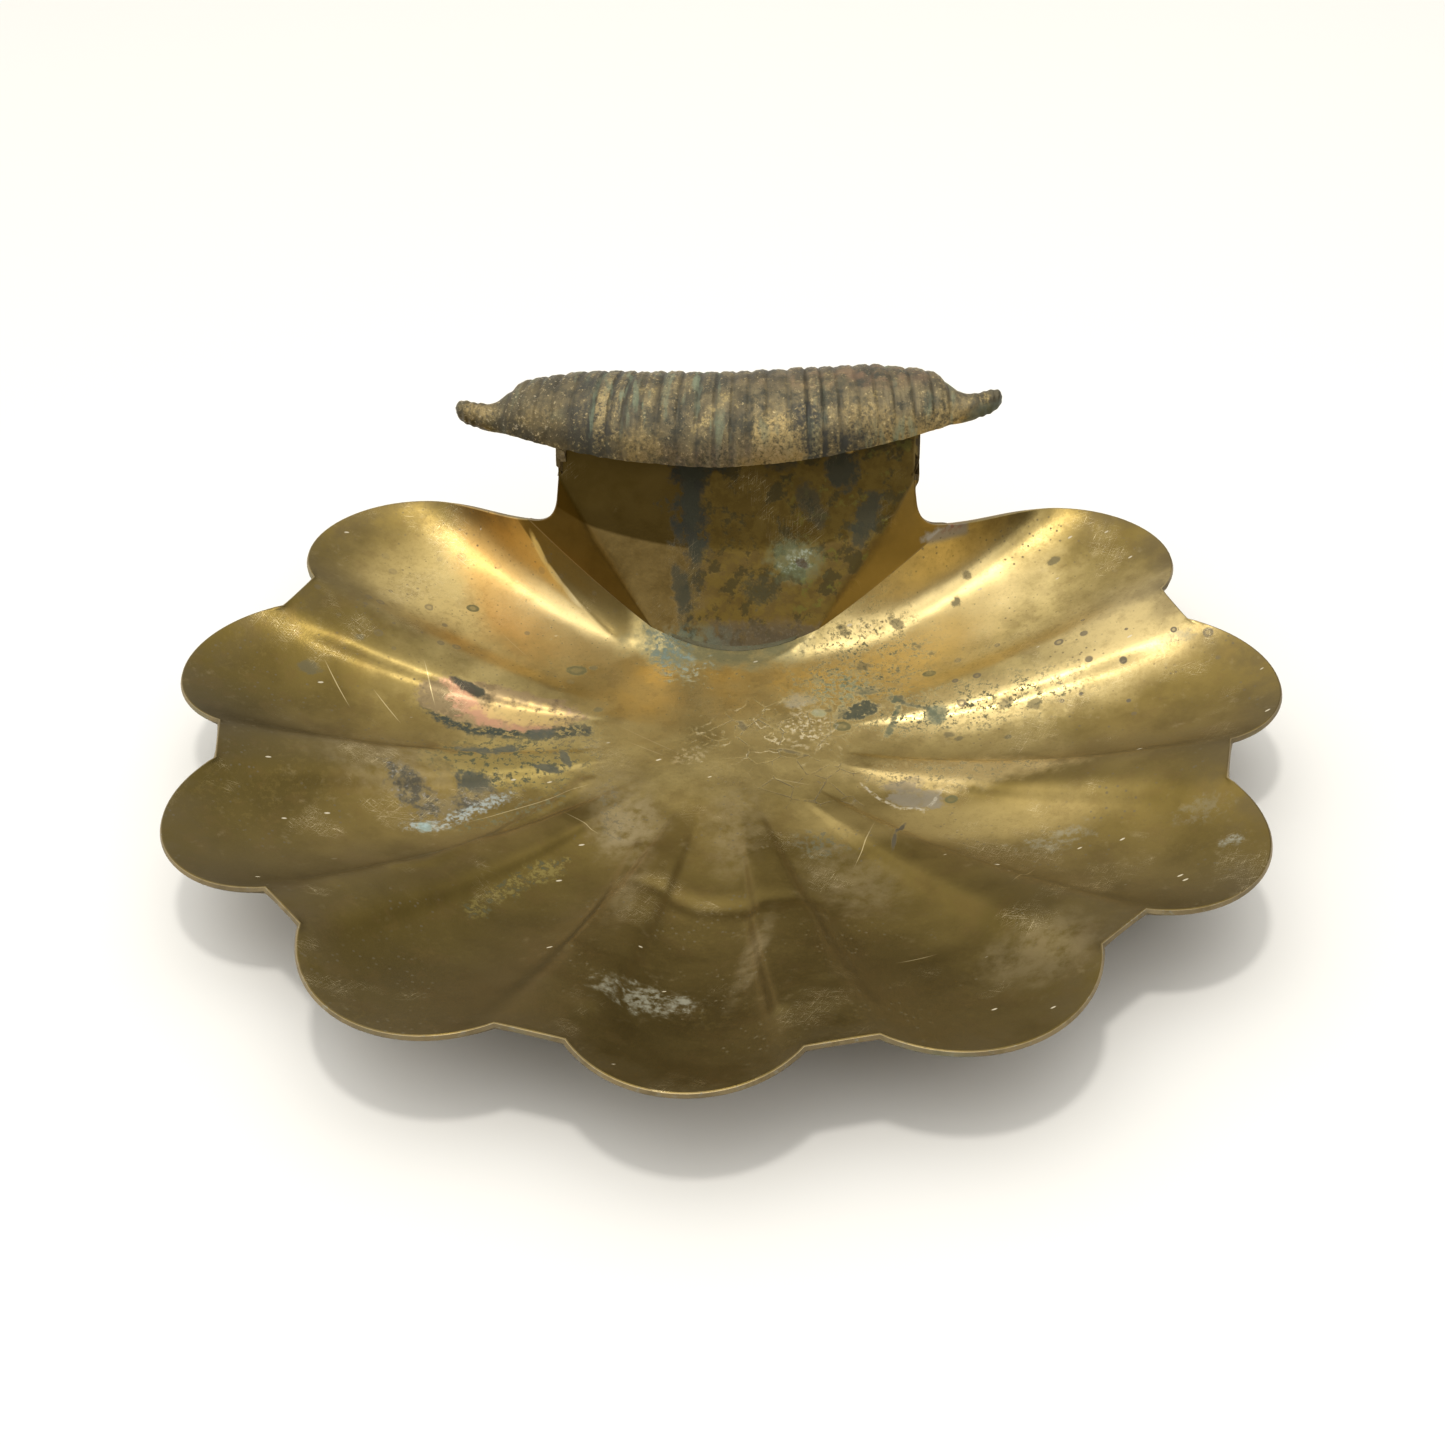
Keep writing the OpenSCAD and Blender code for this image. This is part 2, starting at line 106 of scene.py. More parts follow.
END_V = -0.85
SHOULDER_P = np.array([-SHOULDER, SHOULDER_Y])
END_P = lobe_rim(1, END_V)
END_T = unit(lobe_rim(1, END_V + 0.01) - END_P)


def end_rim(s):
    if s < 0.45:
        return bez4(SHOULDER_P, SHOULDER_P + [-16, 6], END_P - END_T * 16, END_P, s / 0.45)
    return lobe_rim(1, mix(END_V, 1, (s - 0.45) / 0.55))


def angle_of(p):
    a = math.degrees(math.atan2(p[1], p[0]))
    return a + 360 if a < 89.9 else a


def end_col(s):
    chord = mix(SHOULDER_P, corner(1, 1), s)
    edge = angle_of(corner(1, 1))
    return [*end_rim(s), *chord, mix(SEAM_FOOT, edge, s), sin(math.pi * s) ** 2 * 0.9,
            LIFT * max(0, 1 - s / 0.45) ** 2, 1, 2 * s - 1]


def lobe_col(k, v):
    c = lobe_chord(k, v)
    return [*lobe_rim(k, v), *c, angle_of(c), 1 - v * v, 0, k, v]


def band_cols(a, b, n):
    a, b = np.array(a), np.array(b)
    rows = [mix(a, b, i / n) for i in range(1, n)]
    for r in rows:
        r[8] = 0
        r[7] = (a[7] + b[7]) / 2
    return rows


# one row per column: rim x y, chord x y, floor bearing, depth share, lift, lobe, place across it
ENDS, ACROSS, BANDS = 46, 34, 8
left = [end_col(i / ENDS) for i in range(ENDS + 1)]
cols = list(left)
for k in range(2, 9):
    lobe = [lobe_col(k, -1 + 2 * i / ACROSS) for i in range(ACROSS + 1)]
    cols += band_cols(cols[-1], lobe[0], BANDS) + lobe
right = [[-c[0], c[1], -c[2], c[3], 540 - c[4], c[5], c[6], 9, -c[8]] for c in reversed(left)]
cols += band_cols(cols[-1], right[0], BANDS) + right
cols = np.array(cols)
NC = len(cols)


def skin(c, u):
    """Points of the inner surface for column rows c and heights u, broadcast together."""
    f = FLOOR * np.stack([np.cos(np.radians(c[..., 4])), np.sin(np.radians(c[..., 4]))], -1)
    u1 = u[..., None]
    p = mix(f, c[..., 2:4], u1) + (c[..., 0:2] - c[..., 2:4]) * u1 ** 1.15
    k = mix(SEAM, SIDE, np.minimum(1, np.where(c[..., 6] < 0.01, 1, 1 - c[..., 6] / LIFT)))
    dip = np.sin(np.pi * u ** 0.75) * 0.8 + 0.2 * u
    z = WALL + (RIM - WALL) * u ** k + c[..., 6] * u * u - DIP * c[..., 5] * dip * u ** 0.6
    return np.concatenate([p, np.maximum(WALL, z)[..., None]], -1)


# ---------------------------------------------------------------- meshes
def object_of(name, points, faces, material, attributes=(), smooth=35, doubles=0.02):
    """A mesh in metres from points in mm, riding on the one body."""
    me = bpy.data.meshes.new(name)
    me.from_pydata([tuple(p) for p in np.asarray(points, float) * MM], [], [tuple(f) for f in faces])
    for key, values in dict(attributes).items():
        at = me.attributes.new(key, "FLOAT", "POINT")
        at.data.foreach_set("value", np.asarray(values, np.float32).ravel())
    me.validate()
    ob = bpy.data.objects.new(name, me)
    bpy.context.scene.collection.objects.link(ob)
    import bmesh
    bm = bmesh.new()
    bm.from_mesh(me)
    if doubles:
        bmesh.ops.remove_doubles(bm, verts=bm.verts, dist=doubles * MM)
        bmesh.ops.dissolve_degenerate(bm, edges=bm.edges, dist=1e-7)
    bmesh.ops.recalc_face_normals(bm, faces=bm.faces)
    bm.to_mesh(me)
    bm.free()
    me.materials.append(material)
    me.polygons.foreach_set("use_smooth", [True] * len(me.polygons))
    if smooth:
        me.set_sharp_from_angle(angle=rad(smooth))
    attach(ob, "root")
    return ob


def grid_faces(idx, flip=False):
    a, b, c, d = idx[:-1, :-1], idx[:-1, 1:], idx[1:, 1:], idx[1:, :-1]
    q = np.stack([a, b, c, d] if not flip else [a, d, c, b], -1).reshape(-1, 4)
    return q.tolist()


def relax(points, faces, fixed, rounds, weight=0.5):
    """Rounds off creases: each free point moves towards the mean of its neighbours."""
    pairs = set()
    for f in faces:
        for i in range(len(f)):
            a, b = f[i], f[(i + 1) % len(f)]
            pairs.add((min(a, b), max(a, b)))
    e = np.array(sorted(pairs))
    n = np.zeros(len(points))
    np.add.at(n, e[:, 0], 1)
    np.add.at(n, e[:, 1], 1)
    free = (~fixed)[:, None] * weight
    for _ in range(rounds):
        s = np.zeros_like(points)
        np.add.at(s, e[:, 0], points[e[:, 1]])
        np.add.at(s, e[:, 1], points[e[:, 0]])
        points = points + free * (s / n[:, None] - points)
    return points


def normals_of(points, faces):
    n = np.zeros_like(points)
    for size in (3, 4):
        f = np.array([q for q in faces if len(q) == size])
        if len(f):
            p = points[f]
            v = np.cross(p[:, 1] - p[:, 0], p[:, 2] - p[:, 0])
            if size == 4:
                v = v + np.cross(p[:, 2] - p[:, 0], p[:, 3] - p[:, 0])
            for i in range(size):
                np.add.at(n, f[:, i], v)
    return unit(n)


def bumps(points, size, seed):
    """Smooth noise from -1 to 1 at each point."""
    off = Vector((seed * 17.3, seed * 5.1, seed * 9.7))
    return np.array([noise.noise(Vector(p) / size + off) for p in points])


def near_line(xy, points):
    """Distance of each place from a run of straight pieces."""
    got = np.full(len(xy), 1e9)
    for a, b in zip(np.array(points[:-1], float), np.array(points[1:], float)):
        t = np.clip(((xy - a) @ (b - a)) / ((b - a) @ (b - a)), 0, 1)[:, None]
        got = np.minimum(got, np.linalg.norm(xy - mix(a, b, t), axis=1))
    return got


# ---------------------------------------------------------------- neck boundary
def seam(u):
    return skin(cols[0], np.asarray(u, float))


PANEL_DOWN = unit([0, -LEAN, -1])
PANEL_BACK = unit([0, 1, -LEAN])
FOOT_CORNER = seam(FOOT_U)


def on_panel(x, z):
    return np.array([x, FOOT_CORNER[1] + LEAN * (z - FOOT_CORNER[2]), z])


def foot(w):
    x = mix(-FOOT_CORNER[0], FOOT_CORNER[0], w)
    k = x / FOOT_CORNER[0]
    return on_panel(x, mix(WALL, FOOT_CORNER[2], k * k))


FOLD_END = on_panel(-NECK_HALF, FOLD_TOP)
SEAM_TOP = seam(1.0)
WING_N = unit(np.cross(FOOT_CORNER - SEAM_TOP, FOLD_END - SEAM_TOP))


def on_wing(x, z):
    return np.array([x, (WING_N @ SEAM_TOP - WING_N[0] * x - WING_N[2] * z) / WING_N[1], z])


def wing_normal(u):
    p, d = seam(u), seam(min(u + 0.02, 1)) - seam(u - 0.02)
    share = (p[2] - FOOT_CORNER[2]) / (FOLD_END[2] - FOOT_CORNER[2])
    return unit(np.cross(mix(FOOT_CORNER, FOLD_END, share) - p, d))


def seam_normal(u):
    d = seam(min(u + 0.02, 1)) - seam(u - 0.02)
    return unit(np.cross(d, skin(cols[3], np.array(u)) - seam(u)))


def mitre(u):
    a, b = wing_normal(u), seam_normal(u)
    return -(a + b) / max(0.6, 1 + a @ b) * (WALL + NECK_WALL) / 2


# ---------------------------------------------------------------- dish
LOW, HIGH, BACK = 18, 56, 24
RIB = 1.5
FOLDS = (([(-56, -34), (-66, -49), (-80, -67), (-95, -90), (-106, -107), (-117, -114)], 0.9, 2.0),
         ([(-31, -76), (-36, -102), (-41, -125), (-47, -150)], 0.9, 2.0),
         ([(17, -122), (22, -150), (26, -172), (29, -188)], 1.1, 2.6),
         ([(38, -112), (41, -140), (44, -168)], 0.6, 3.0),
         ([(-93, 96), (-80, 86), (-67, 76), (-57, 68)], 0.5, 1.4),
         ([(8, -44), (7, -62), (5, -80)], 0.7, 9.0),
         ([(-24, -104), (-4, -113), (14, -114), (38, -110)], -0.7, 4.5))
us = np.concatenate([np.linspace(0, FOOT_U, LOW + 1), np.linspace(FOOT_U, 1, HIGH + 1)[1:]])
NR = len(us)


def build_dish(material):
    main = skin(cols[None, :, :], np.broadcast_to(us[:, None], (NR, NC)))
    pts = [main.reshape(-1, 3)]
    idx = np.arange(NR * NC).reshape(NR, NC)
    count = NR * NC
    # behind the floor, up to the foot of the panel
    back = np.zeros((LOW + 1, BACK + 1, 3))
    for i in range(BACK + 1):
        w = i / BACK
        a = rad(mix(180 - SEAM_FOOT, SEAM_FOOT, w))
        f = np.array([FLOOR * cos(a), FLOOR * sin(a), WALL])
        g = foot(w)
        for j in range(LOW + 1):
            t = us[j] / FOOT_U
            q = mix(f, g, t)
            back[j, i] = [q[0], q[1], mix(WALL, g[2], t ** SIDE)]
    bidx = np.zeros((LOW + 1, BACK + 1), int)
    bidx[:, 0] = idx[:LOW + 1, NC - 1]
    bidx[:, BACK] = idx[:LOW + 1, 0]
    inner = np.arange(count, count + (LOW + 1) * (BACK - 1)).reshape(LOW + 1, BACK - 1)
    bidx[:, 1:BACK] = inner
    pts.append(back[:, 1:BACK].reshape(-1, 3))
    count += inner.size
    # floor disc
    ring = np.concatenate([idx[0], bidx[0, 1:BACK]])
    all_pts = np.concatenate(pts)
    rings = [ring]
    for r in np.linspace(1, 0, 13)[1:-1]:
        p = all_pts[ring].copy()
        p[:, :2] *= r
        pts.append(p)
        rings.append(np.arange(count, count + len(ring)))
        count += len(ring)
    pts.append(np.array([[0, 0, WALL]]))
    centre = count
    p = np.concatenate(pts)
    faces = grid_faces(idx, flip=True) + grid_faces(bidx, flip=True)
    loop = np.array([np.append(r, r[0]) for r in rings])
    faces += grid_faces(loop)
    faces += [[centre, int(loop[-1, i + 1]), int(loop[-1, i])] for i in range(len(ring))]
    n_in = len(p)
    fixed = np.zeros(n_in, bool)
    fixed[idx[-1]] = True
    fixed[idx[LOW:, 0]] = True
    fixed[idx[LOW:, -1]] = True
    fixed[bidx[LOW]] = True
    p = relax(p, faces, fixed, 10)
    # dents and hammered unevenness, fading out at the edges
    u_at = np.zeros(n_in)
    u_at[idx] = us[:, None]
    u_at[inner] = us[:LOW + 1, None]
    lobe_at, across = np.full(n_in, 5.0), np.zeros(n_in)
    lobe_at[idx] = cols[None, :, 7]
    across[idx] = cols[None, :, 8]
    nrm = normals_of(p, faces)
    calm = np.where(fixed, 0, np.minimum(1, (1 - u_at) * 6))
    side_dist = np.minimum(np.arange(NC), NC - 1 - np.arange(NC)) / 8.0
    calm[idx] *= np.minimum(1, side_dist)[None, :]
    push = 0.55 * bumps(p, 38, 1) + 0.22 * bumps(p, 14, 2) + 0.06 * bumps(p, 5, 3)
    # the ribs between the lobes stand up, and a few have a sharper fold along them
    ribs = np.clip((np.abs(cols[:, 8]) - 0.66) / 0.3, 0, 1)
    ribs[(cols[:, 7] % 1) > 0.01] = 1
    ribs[:ENDS // 2], ribs[-(ENDS // 2):] = 0, 0
    ribs = ribs ** 2 * (3 - 2 * ribs)
    run = np.clip(us / 0.22, 0, 1) * np.clip((1 - us) / 0.22, 0, 1)
    push[idx] += RIB * ribs[None, :] * run[:, None]
    for points, high, wide in FOLDS:
        push += high * np.exp(-(near_line(p[:, :2], points) / wide) ** 2)
    p = p + nrm * (push * calm)[:, None]
    p[:, 2] = np.maximum(p[:, 2], WALL - 0.6)
    nrm = normals_of(p, faces)
    # outer surface
    q = p - nrm * WALL
    q[:, 2] = np.maximum(q[:, 2], 0)
    q[idx[0]] = p[idx[0]] * [1, 1, 0]
    flat = np.hypot(p[:, 0], p[:, 1]) < FLOOR
    q[flat, 2] = 0
    for j in range(NR):
        for c in (0, NC - 1):
            i = idx[j, c]
            if us[j] < FOOT_U - 1e-9:
                q[i] = p[i] - [0, 0, WALL]
            elif us[j] < FOOT_U + 1e-9:
                q[i] = p[i] + PANEL_DOWN * WALL / -PANEL_DOWN[2]
            else:
                m = mitre(us[j])
                q[i] = p[i] + (m if c == 0 else m * [-1, 1, 1])
    q[bidx[LOW, 1:BACK]] = p[bidx[LOW, 1:BACK]] + PANEL_DOWN * WALL / -PANEL_DOWN[2]
    q[:, 2] = np.maximum(q[:, 2], 0)
    # rim in three steps, so the cut edge is rounded off
    edge_run = np.concatenate([idx[LOW:, 0], idx[-1, 1:], idx[LOW:-1, -1][::-1], bidx[LOW, 1:BACK]])
    down = unit(q[edge_run] - p[edge_run])
    extra, base = [], 2 * n_in
    out = unit(np.cross(np.roll(p[edge_run], -1, 0) - np.roll(p[edge_run], 1, 0), down))
    is_rim = np.isin(edge_run, idx[-1])
    inset = np.where(is_rim, 0.45, 0.0)[:, None]
    rim_in, rim_out = p[edge_run], q[edge_run]
    sgn = np.sign((out * (rim_in - np.array([0, 0, 0]))[:, :]).sum(1, keepdims=True))
    out = out * np.where(sgn == 0, 1, sgn)
    e1 = rim_in + down * 0.45
    e2 = rim_out - down * 0.45
    top = rim_in - out * inset
    bottom = rim_out - out * inset
    p[edge_run], q[edge_run] = top, bottom
    verts = np.concatenate([p, q, e1, e2])
    m = len(edge_run)
    i1, i2 = np.arange(base, base + m), np.arange(base + m, base + 2 * m)
    close = lambda a: np.append(a, a[0])
    wall = np.array([close(edge_run), close(i1), close(i2), close(edge_run + n_in)])
    all_faces = faces + [[v + n_in for v in reversed(f)] for f in faces] + grid_faces(wall)
    u2 = np.concatenate([u_at, u_at, np.ones(2 * m), ])
    edge = np.concatenate([np.zeros(2 * n_in), np.ones(2 * m)])
    under = np.concatenate([np.zeros(n_in), np.ones(n_in), np.full(2 * m, 0.5)])
    lob = np.concatenate([lobe_at, lobe_at, np.full(2 * m, 5.0)])
    acr = np.concatenate([across, across, np.zeros(2 * m)])
    ob = object_of("dish_shell", verts, all_faces, material,
                   {"u": u2, "edge": edge, "under": under, "lobe": lob, "across": acr}, smooth=40)
    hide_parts("dish")
    return ob


# ---------------------------------------------------------------- neck
def build_neck(material):
    rows_seam = [u for u in us if u >= FOOT_U - 1e-9][::2]
    if rows_seam[-1] < 1:
        rows_seam.append(1.0)
    edge, kind = [], []
    for u in rows_seam:
        edge.append(seam(u))
        kind.append(u)
    a, b = on_wing(13 - SHOULDER, RIM + LIFT + 1), on_wing(-NECK_HALF - 1.5, RIM + 18)
    steps = 14
    for i in range(1, steps + 1):
        t = i / steps
        edge.append((1 - t) ** 2 * SEAM_TOP + 2 * t * (1 - t) * a + t * t * b)
        kind.append(-1)
    for i in range(1, 7):
        edge.append(mix(b, FOLD_END, i / 6))
        kind.append(-1)
    n_fold = len(edge) - 1
    for i in range(1, 11):
        edge.append(on_panel(-NECK_HALF, mix(FOLD_TOP, NECK_TOP, i / 10)))
        kind.append(-2)
    edge = np.array(edge)
    W, P = 10, 40
    cols_n = 2 * W + P + 1
    rows_n = len(edge)
    front = np.zeros((rows_n, cols_n, 3))
    for j, e in enumerate(edge):
        share = (e[2] - FOOT_CORNER[2]) / (FOLD_END[2] - FOOT_CORNER[2])
        f = e if j >= n_fold else mix(FOOT_CORNER, FOLD_END, share)
        g = f * [-1, 1, 1]
        for c in range(cols_n):
            if c < W:
                front[j, c] = mix(e, f, c / W)
            elif c <= W + P:
                t = (c - W) / P
                front[j, c] = foot(1 - t) if j == 0 else mix(f, g, t)
            else:
                front[j, c] = mix(g, e * [-1, 1, 1], (c - W - P) / W)
    # blend the lowest rows so the foot arc runs in smoothly
    low = 5
    for j in range(1, low):
        for c in range(W, W + P + 1):
            t = (c - W) / P
            sag = foot(1 - t)[2] - FOOT_CORNER[2]
            z = front[j, c, 2] + sag * (1 - j / low) ** 1.3
            front[j, c] = on_panel(front[j, c, 0], z)
    lap = np.zeros((1, cols_n, 3))
    for c in range(cols_n):
        f = front[0, c]
        lap[0, c] = f + PANEL_DOWN * (f[2] - 1.1 - 0.35 * (f[2] - WALL)) / -PANEL_DOWN[2]
    grid = np.concatenate([lap, front])
    R = rows_n + 1
    idx = np.arange(R * cols_n).reshape(R, cols_n)
    pts = grid.reshape(-1, 3)
    faces = grid_faces(idx, flip=True)
    fixed = np.zeros(len(pts), bool)
    fixed[idx[:2].ravel()] = True
    fixed[idx[-1]] = True
    fixed[idx[:, 0]] = True
    fixed[idx[:, -1]] = True
    pts = relax(pts, faces, fixed, 3)
    nrm = normals_of(pts, faces)
    if nrm[idx[R // 2, cols_n // 2]][1] > 0:
        faces = [list(reversed(f)) for f in faces]
        nrm = -nrm
    calm = np.where(fixed, 0.0, 1.0)
    calm[idx[2:4].ravel()] = 0.3
    pts = pts + nrm * ((0.5 * bumps(pts, 34, 5) + 0.15 * bumps(pts, 11, 6)) * calm)[:, None]
    nrm = normals_of(pts, faces)
    back = pts - nrm * NECK_WALL
    for j in range(R):
        for c in (0, cols_n - 1):
            i = idx[j, c]
            k = kind[j - 1] if j else 0
            if j <= 1 or k == -2:
                back[i] = pts[i] + PANEL_BACK * NECK_WALL
            elif k > 0:
                m = mitre(k)
                back[i] = pts[i] + (m if c == 0 else m * [-1, 1, 1])
    back[idx[:2].ravel()] = pts[idx[:2].ravel()] + PANEL_BACK * NECK_WALL
    back[:, 2] = np.maximum(back[:, 2], 0.2)
    n = len(pts)
    verts = np.concatenate([pts, back])
    all_faces = faces + [[v + n for v in reversed(f)] for f in faces]
    run = np.concatenate([idx[0], idx[1:, -1], idx[-1, :-1][::-1], idx[1:-1, 0][::-1]])
    run = np.append(run, run[0])
    all_faces += grid_faces(np.array([run, run + n]))
    edge_at = np.zeros(2 * n)
    edge_at[idx[:, 0]] = 1
    edge_at[idx[:, -1]] = 1
    wing = np.zeros(2 * n)
    wing[idx[:, :W].ravel()] = 1
    wing[idx[:, W + P + 1:].ravel()] = 1
    ob = object_of("neck_sheet", verts, all_faces, material,
                   {"edge": edge_at, "wing": wing, "under": np.repeat([0.0, 1.0], n)}, smooth=40)
    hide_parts("neck")
    return ob


# ---------------------------------------------------------------- crest
TIP = 0.91
FLANGE_LOW, FLANGE_HIGH = RIVET_Z - 10.6, RIVET_Z + 6


def lip_y(s):
    return LIP_Y + 25 * s ** 2.2


def lip_z(s):
    return LIP_Z + 12 * s ** 1.7


def heel_y(s):
    return LIP_Y + HOOD - 25 * s ** 4.5


def top_z(s):
    return LIP_Z + HOOD_RISE - 2.5 * ease((s - 0.55) / 0.2) - 6 * ease((s - 0.72) / 0.22)


def neck_rear(z):
    return on_panel(0, z)[1] + NECK_WALL * math.hypot(1, LEAN)


def hood_pt(s, a, off):
    w = max((heel_y(s) - lip_y(s)) / 2 - off, 0.5)
    return np.array([(lip_y(s) + heel_y(s)) / 2 - w * cos(a),
                     lip_z(s) + max(top_z(s) - lip_z(s) - off, 0.5) * sin(a)])


def tip_pt(s, a, off, inner):
    t = max(0, (s - TIP) / (1 - TIP))
    r = (5.5 - 0.5 * t + 0.2 * cos(rad(1260 * t))) * math.sqrt(max(0.03, 1 - t ** 6))
    r = 0.5 if inner else r - 0.3 * off
    b = rad(-62) + rad(304) * a / math.pi
    y = mix(lip_y(s), lip_y(min(s, TIP)), 0.65) + 5.5
    return np.array([y - r * cos(b), lip_z(s) + 1.8 + 1.2 * t * t + r * sin(b)])


def arch_pt(s, a, off, inner=False):
    return mix(hood_pt(s, a, off), tip_pt(s, a, off, inner), ease((s - 0.78) / (TIP - 0.78)))


def rib(x):
    """Height of the ribs at x: broad rounded ribs, uneven, with narrow grooves."""
    s = abs(x) / CREST
    wob = noise.noise(Vector((x * 0.045, 3.1, 0)))
    ph = x / 7.9 + 0.5 + 0.45 * wob
    i = math.floor(ph)
    t = ph - i
    tall = 0.62 + 0.38 * abs(noise.noise(Vector((i * 1.37, 8.2, 1)))) * 2
    body = min(1.0, 1.35 * math.sin(math.pi * t) ** 0.75)
    fine = 0.08 * math.sin(2 * math.pi * 3 * t + i)
    return min(1.3, 1.3 * tall * body + fine * body) * (1 - 0.65 * float(ease((s - 0.8) / 0.1)))


def build_crest(material):
    AN = 30
    tips = np.linspace(TIP * CREST, CREST, 44)
    xs = np.concatenate([-tips[::-1], np.linspace(-TIP * CREST, TIP * CREST, 420)[1:-1], tips])
    t = CREST_WALL * math.hypot(1, LEAN)
    outer_way = [(neck_rear(FLANGE_LOW) + 22, FLANGE_LOW + 7), (neck_rear(FLANGE_LOW) + 11, FLANGE_LOW + 1),
                 (neck_rear(FLANGE_LOW), FLANGE_LOW), (neck_rear(FLANGE_HIGH), FLANGE_HIGH)]
    inner_way = [(neck_rear(FLANGE_HIGH) + t, FLANGE_HIGH), (neck_rear(FLANGE_LOW) + t, FLANGE_LOW + 4.4),
                 (neck_rear(FLANGE_LOW) + 10.5, FLANGE_LOW + 4.6), (neck_rear(FLANGE_LOW) + 20, FLANGE_LOW + 10)]

    def walk(start, way, end, sub):
        """A smooth run through the way points, kept straight along the flange."""
        pts = [np.array(start)] + [np.array(w) for w in way] + ([np.array(end)] if end is not None else [])
        out = []
        for i in range(len(pts) - 1):
            p0, p1, p2, p3 = pts[max(i - 1, 0)], pts[i], pts[i + 1], pts[min(i + 2, len(pts) - 1)]
            for k in range(1, sub + 1):
                u = k / sub
                a = 0.5 * (2 * p1 + (p2 - p0) * u + (2 * p0 - 5 * p1 + 4 * p2 - p3) * u * u
                           + (3 * p1 - 3 * p2 + p0 * 1 * -1 + p3) * u ** 3)
                b = mix(p1, p2, u)
                out.append(mix(b, a, 0.6))
        return out

    loops, dark, outer_mask = [], [], []
    for x in xs:
        s = abs(x) / CREST
        k = 1 - 0.94 * float(ease((abs(x + CREST_X) - 64) / 12))
        w = min(CREST_WALL, (heel_y(s) - lip_y(s)) / 2 - 1)
        up = np.array([0, CREST_TILT * (x + 0.5 * abs(x))])
        h = rib(x) if s < TIP else 0
        out = [up + arch_pt(s, math.pi * i / AN, -h * sin(rad(15 + 150 * i / AN))) for i in range(AN + 1)]
        inn = [up + arch_pt(s, math.pi * i / AN, w, True) for i in range(AN, -1, -1)]
        hot, hit = out[-1], inn[0]
        blend = lambda base, way: [base + (np.array(q) - base) * k for q in way]
        oc = walk(hot, blend(hot, outer_way), None, 5)
        ic = walk(oc[-1], blend(hit, inner_way), hit, 5)
        loop = out + oc + ic[:-1] + inn
        fan = []
        for i, q in enumerate(loop):
            kk = (q[0] - lip_y(s)) / (heel_y(s) - lip_y(s))
            dx = -np.sign(x) * 7 * sin(math.pi * s ** 1.3) * min(1, max(0, kk)) if s < 1 else 0
            fan.append([x + dx + CREST_X, q[0], q[1]])
        loops.append(fan)
        dark.append([h / 1.3] * len(fan))
        outer_mask.append([1.0] * len(out) + [0.5] * len(oc) + [0.0] * (len(fan) - len(out) - len(oc)))
    g = np.array(loops)
    ns, nl = g.shape[:2]
    idx = np.arange(ns * nl).reshape(ns, nl)
    ring = np.concatenate([idx, idx[:, :1]], 1)
    faces = grid_faces(ring, flip=True)
    half = nl // 2
    for row, fl in ((0, False), (ns - 1, True)):
        for j in range(half - 1):
            f = [int(idx[row, j]), int(idx[row, j + 1]), int(idx[row, nl - 2 - j]), int(idx[row, nl - 1 - j])]
            faces.append(f if fl else f[::-1])
    p = g.reshape(-1, 3)
    n = normals_of(p, faces)
    # sand-cast unevenness, on the outside only and never outwards of the ribs
    m = np.array(outer_mask).ravel()
    rough = 0.30 * bumps(p, 6.5, 11) + 0.22 * bumps(p, 2.6, 12) + 0.12 * bumps(p, 1.2, 13)
    sign = 1 if n[idx[ns // 2, AN // 2]][2] > 0 else -1
    p = p + n * (sign * (rough - 0.25) * np.where(m > 0.9, 1, 0.4 * m))[:, None]
    ob = object_of("crest_cast", p, faces, material,
                   {"rib": np.array(dark).ravel(), "outer": m}, smooth=55)
    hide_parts("crest")
    return ob


# ---------------------------------------------------------------- node helpers
class Nodes:
    """A few short ways to build a tree of shader nodes. Lengths are in mm."""

    def __init__(self, tree):
        self.nt = tree

    def put(self, socket, value):
        if isinstance(value, bpy.types.NodeSocket):
            self.nt.links.new(value, socket)
        elif isinstance(value, (tuple, list)) and len(value) == 3 and socket.type == "RGBA":
            socket.default_value = (*value, 1)
        else:
            socket.default_value = value

    def math(self, op, *args):
        n = self.nt.nodes.new("ShaderNodeMath")
        n.operation = op
        for socket, value in zip(n.inputs, args):
            self.put(socket, value)
        return n.outputs[0]

    def mul(self, a, b, *more):
        got = self.math("MULTIPLY", a, b)
        return self.mul(got, *more) if more else got

    def add(self, a, b):
        return self.math("ADD", a, b)

    def most(self, a, b):
        return self.math("MAXIMUM", a, b)

    def inv(self, a):
        return self.math("SUBTRACT", 1.0, a)

    def span(self, v, lo, hi, a=0.0, b=1.0):
        n = self.nt.nodes.new("ShaderNodeMapRange")
        n.interpolation_type = "SMOOTHSTEP"
        n.clamp = True
        for key, val in zip(("Value", "From Min", "From Max", "To Min", "To Max"), (v, lo, hi, a, b)):
            self.put(n.inputs[key], val)
        return n.outputs[0]

    def col(self, fac, a, b):
        n = self.nt.nodes.new("ShaderNodeMix")
        n.data_type = "RGBA"
        for i, val in ((0, fac), (6, a), (7, b)):
            self.put(n.inputs[i], val)
        return n.outputs[2]

    def num(self, fac, a, b):
        n = self.nt.nodes.new("ShaderNodeMix")
        n.data_type = "FLOAT"
        for i, val in ((0, fac), (2, a), (3, b)):
            self.put(n.inputs[i], val)
        return n.outputs[0]


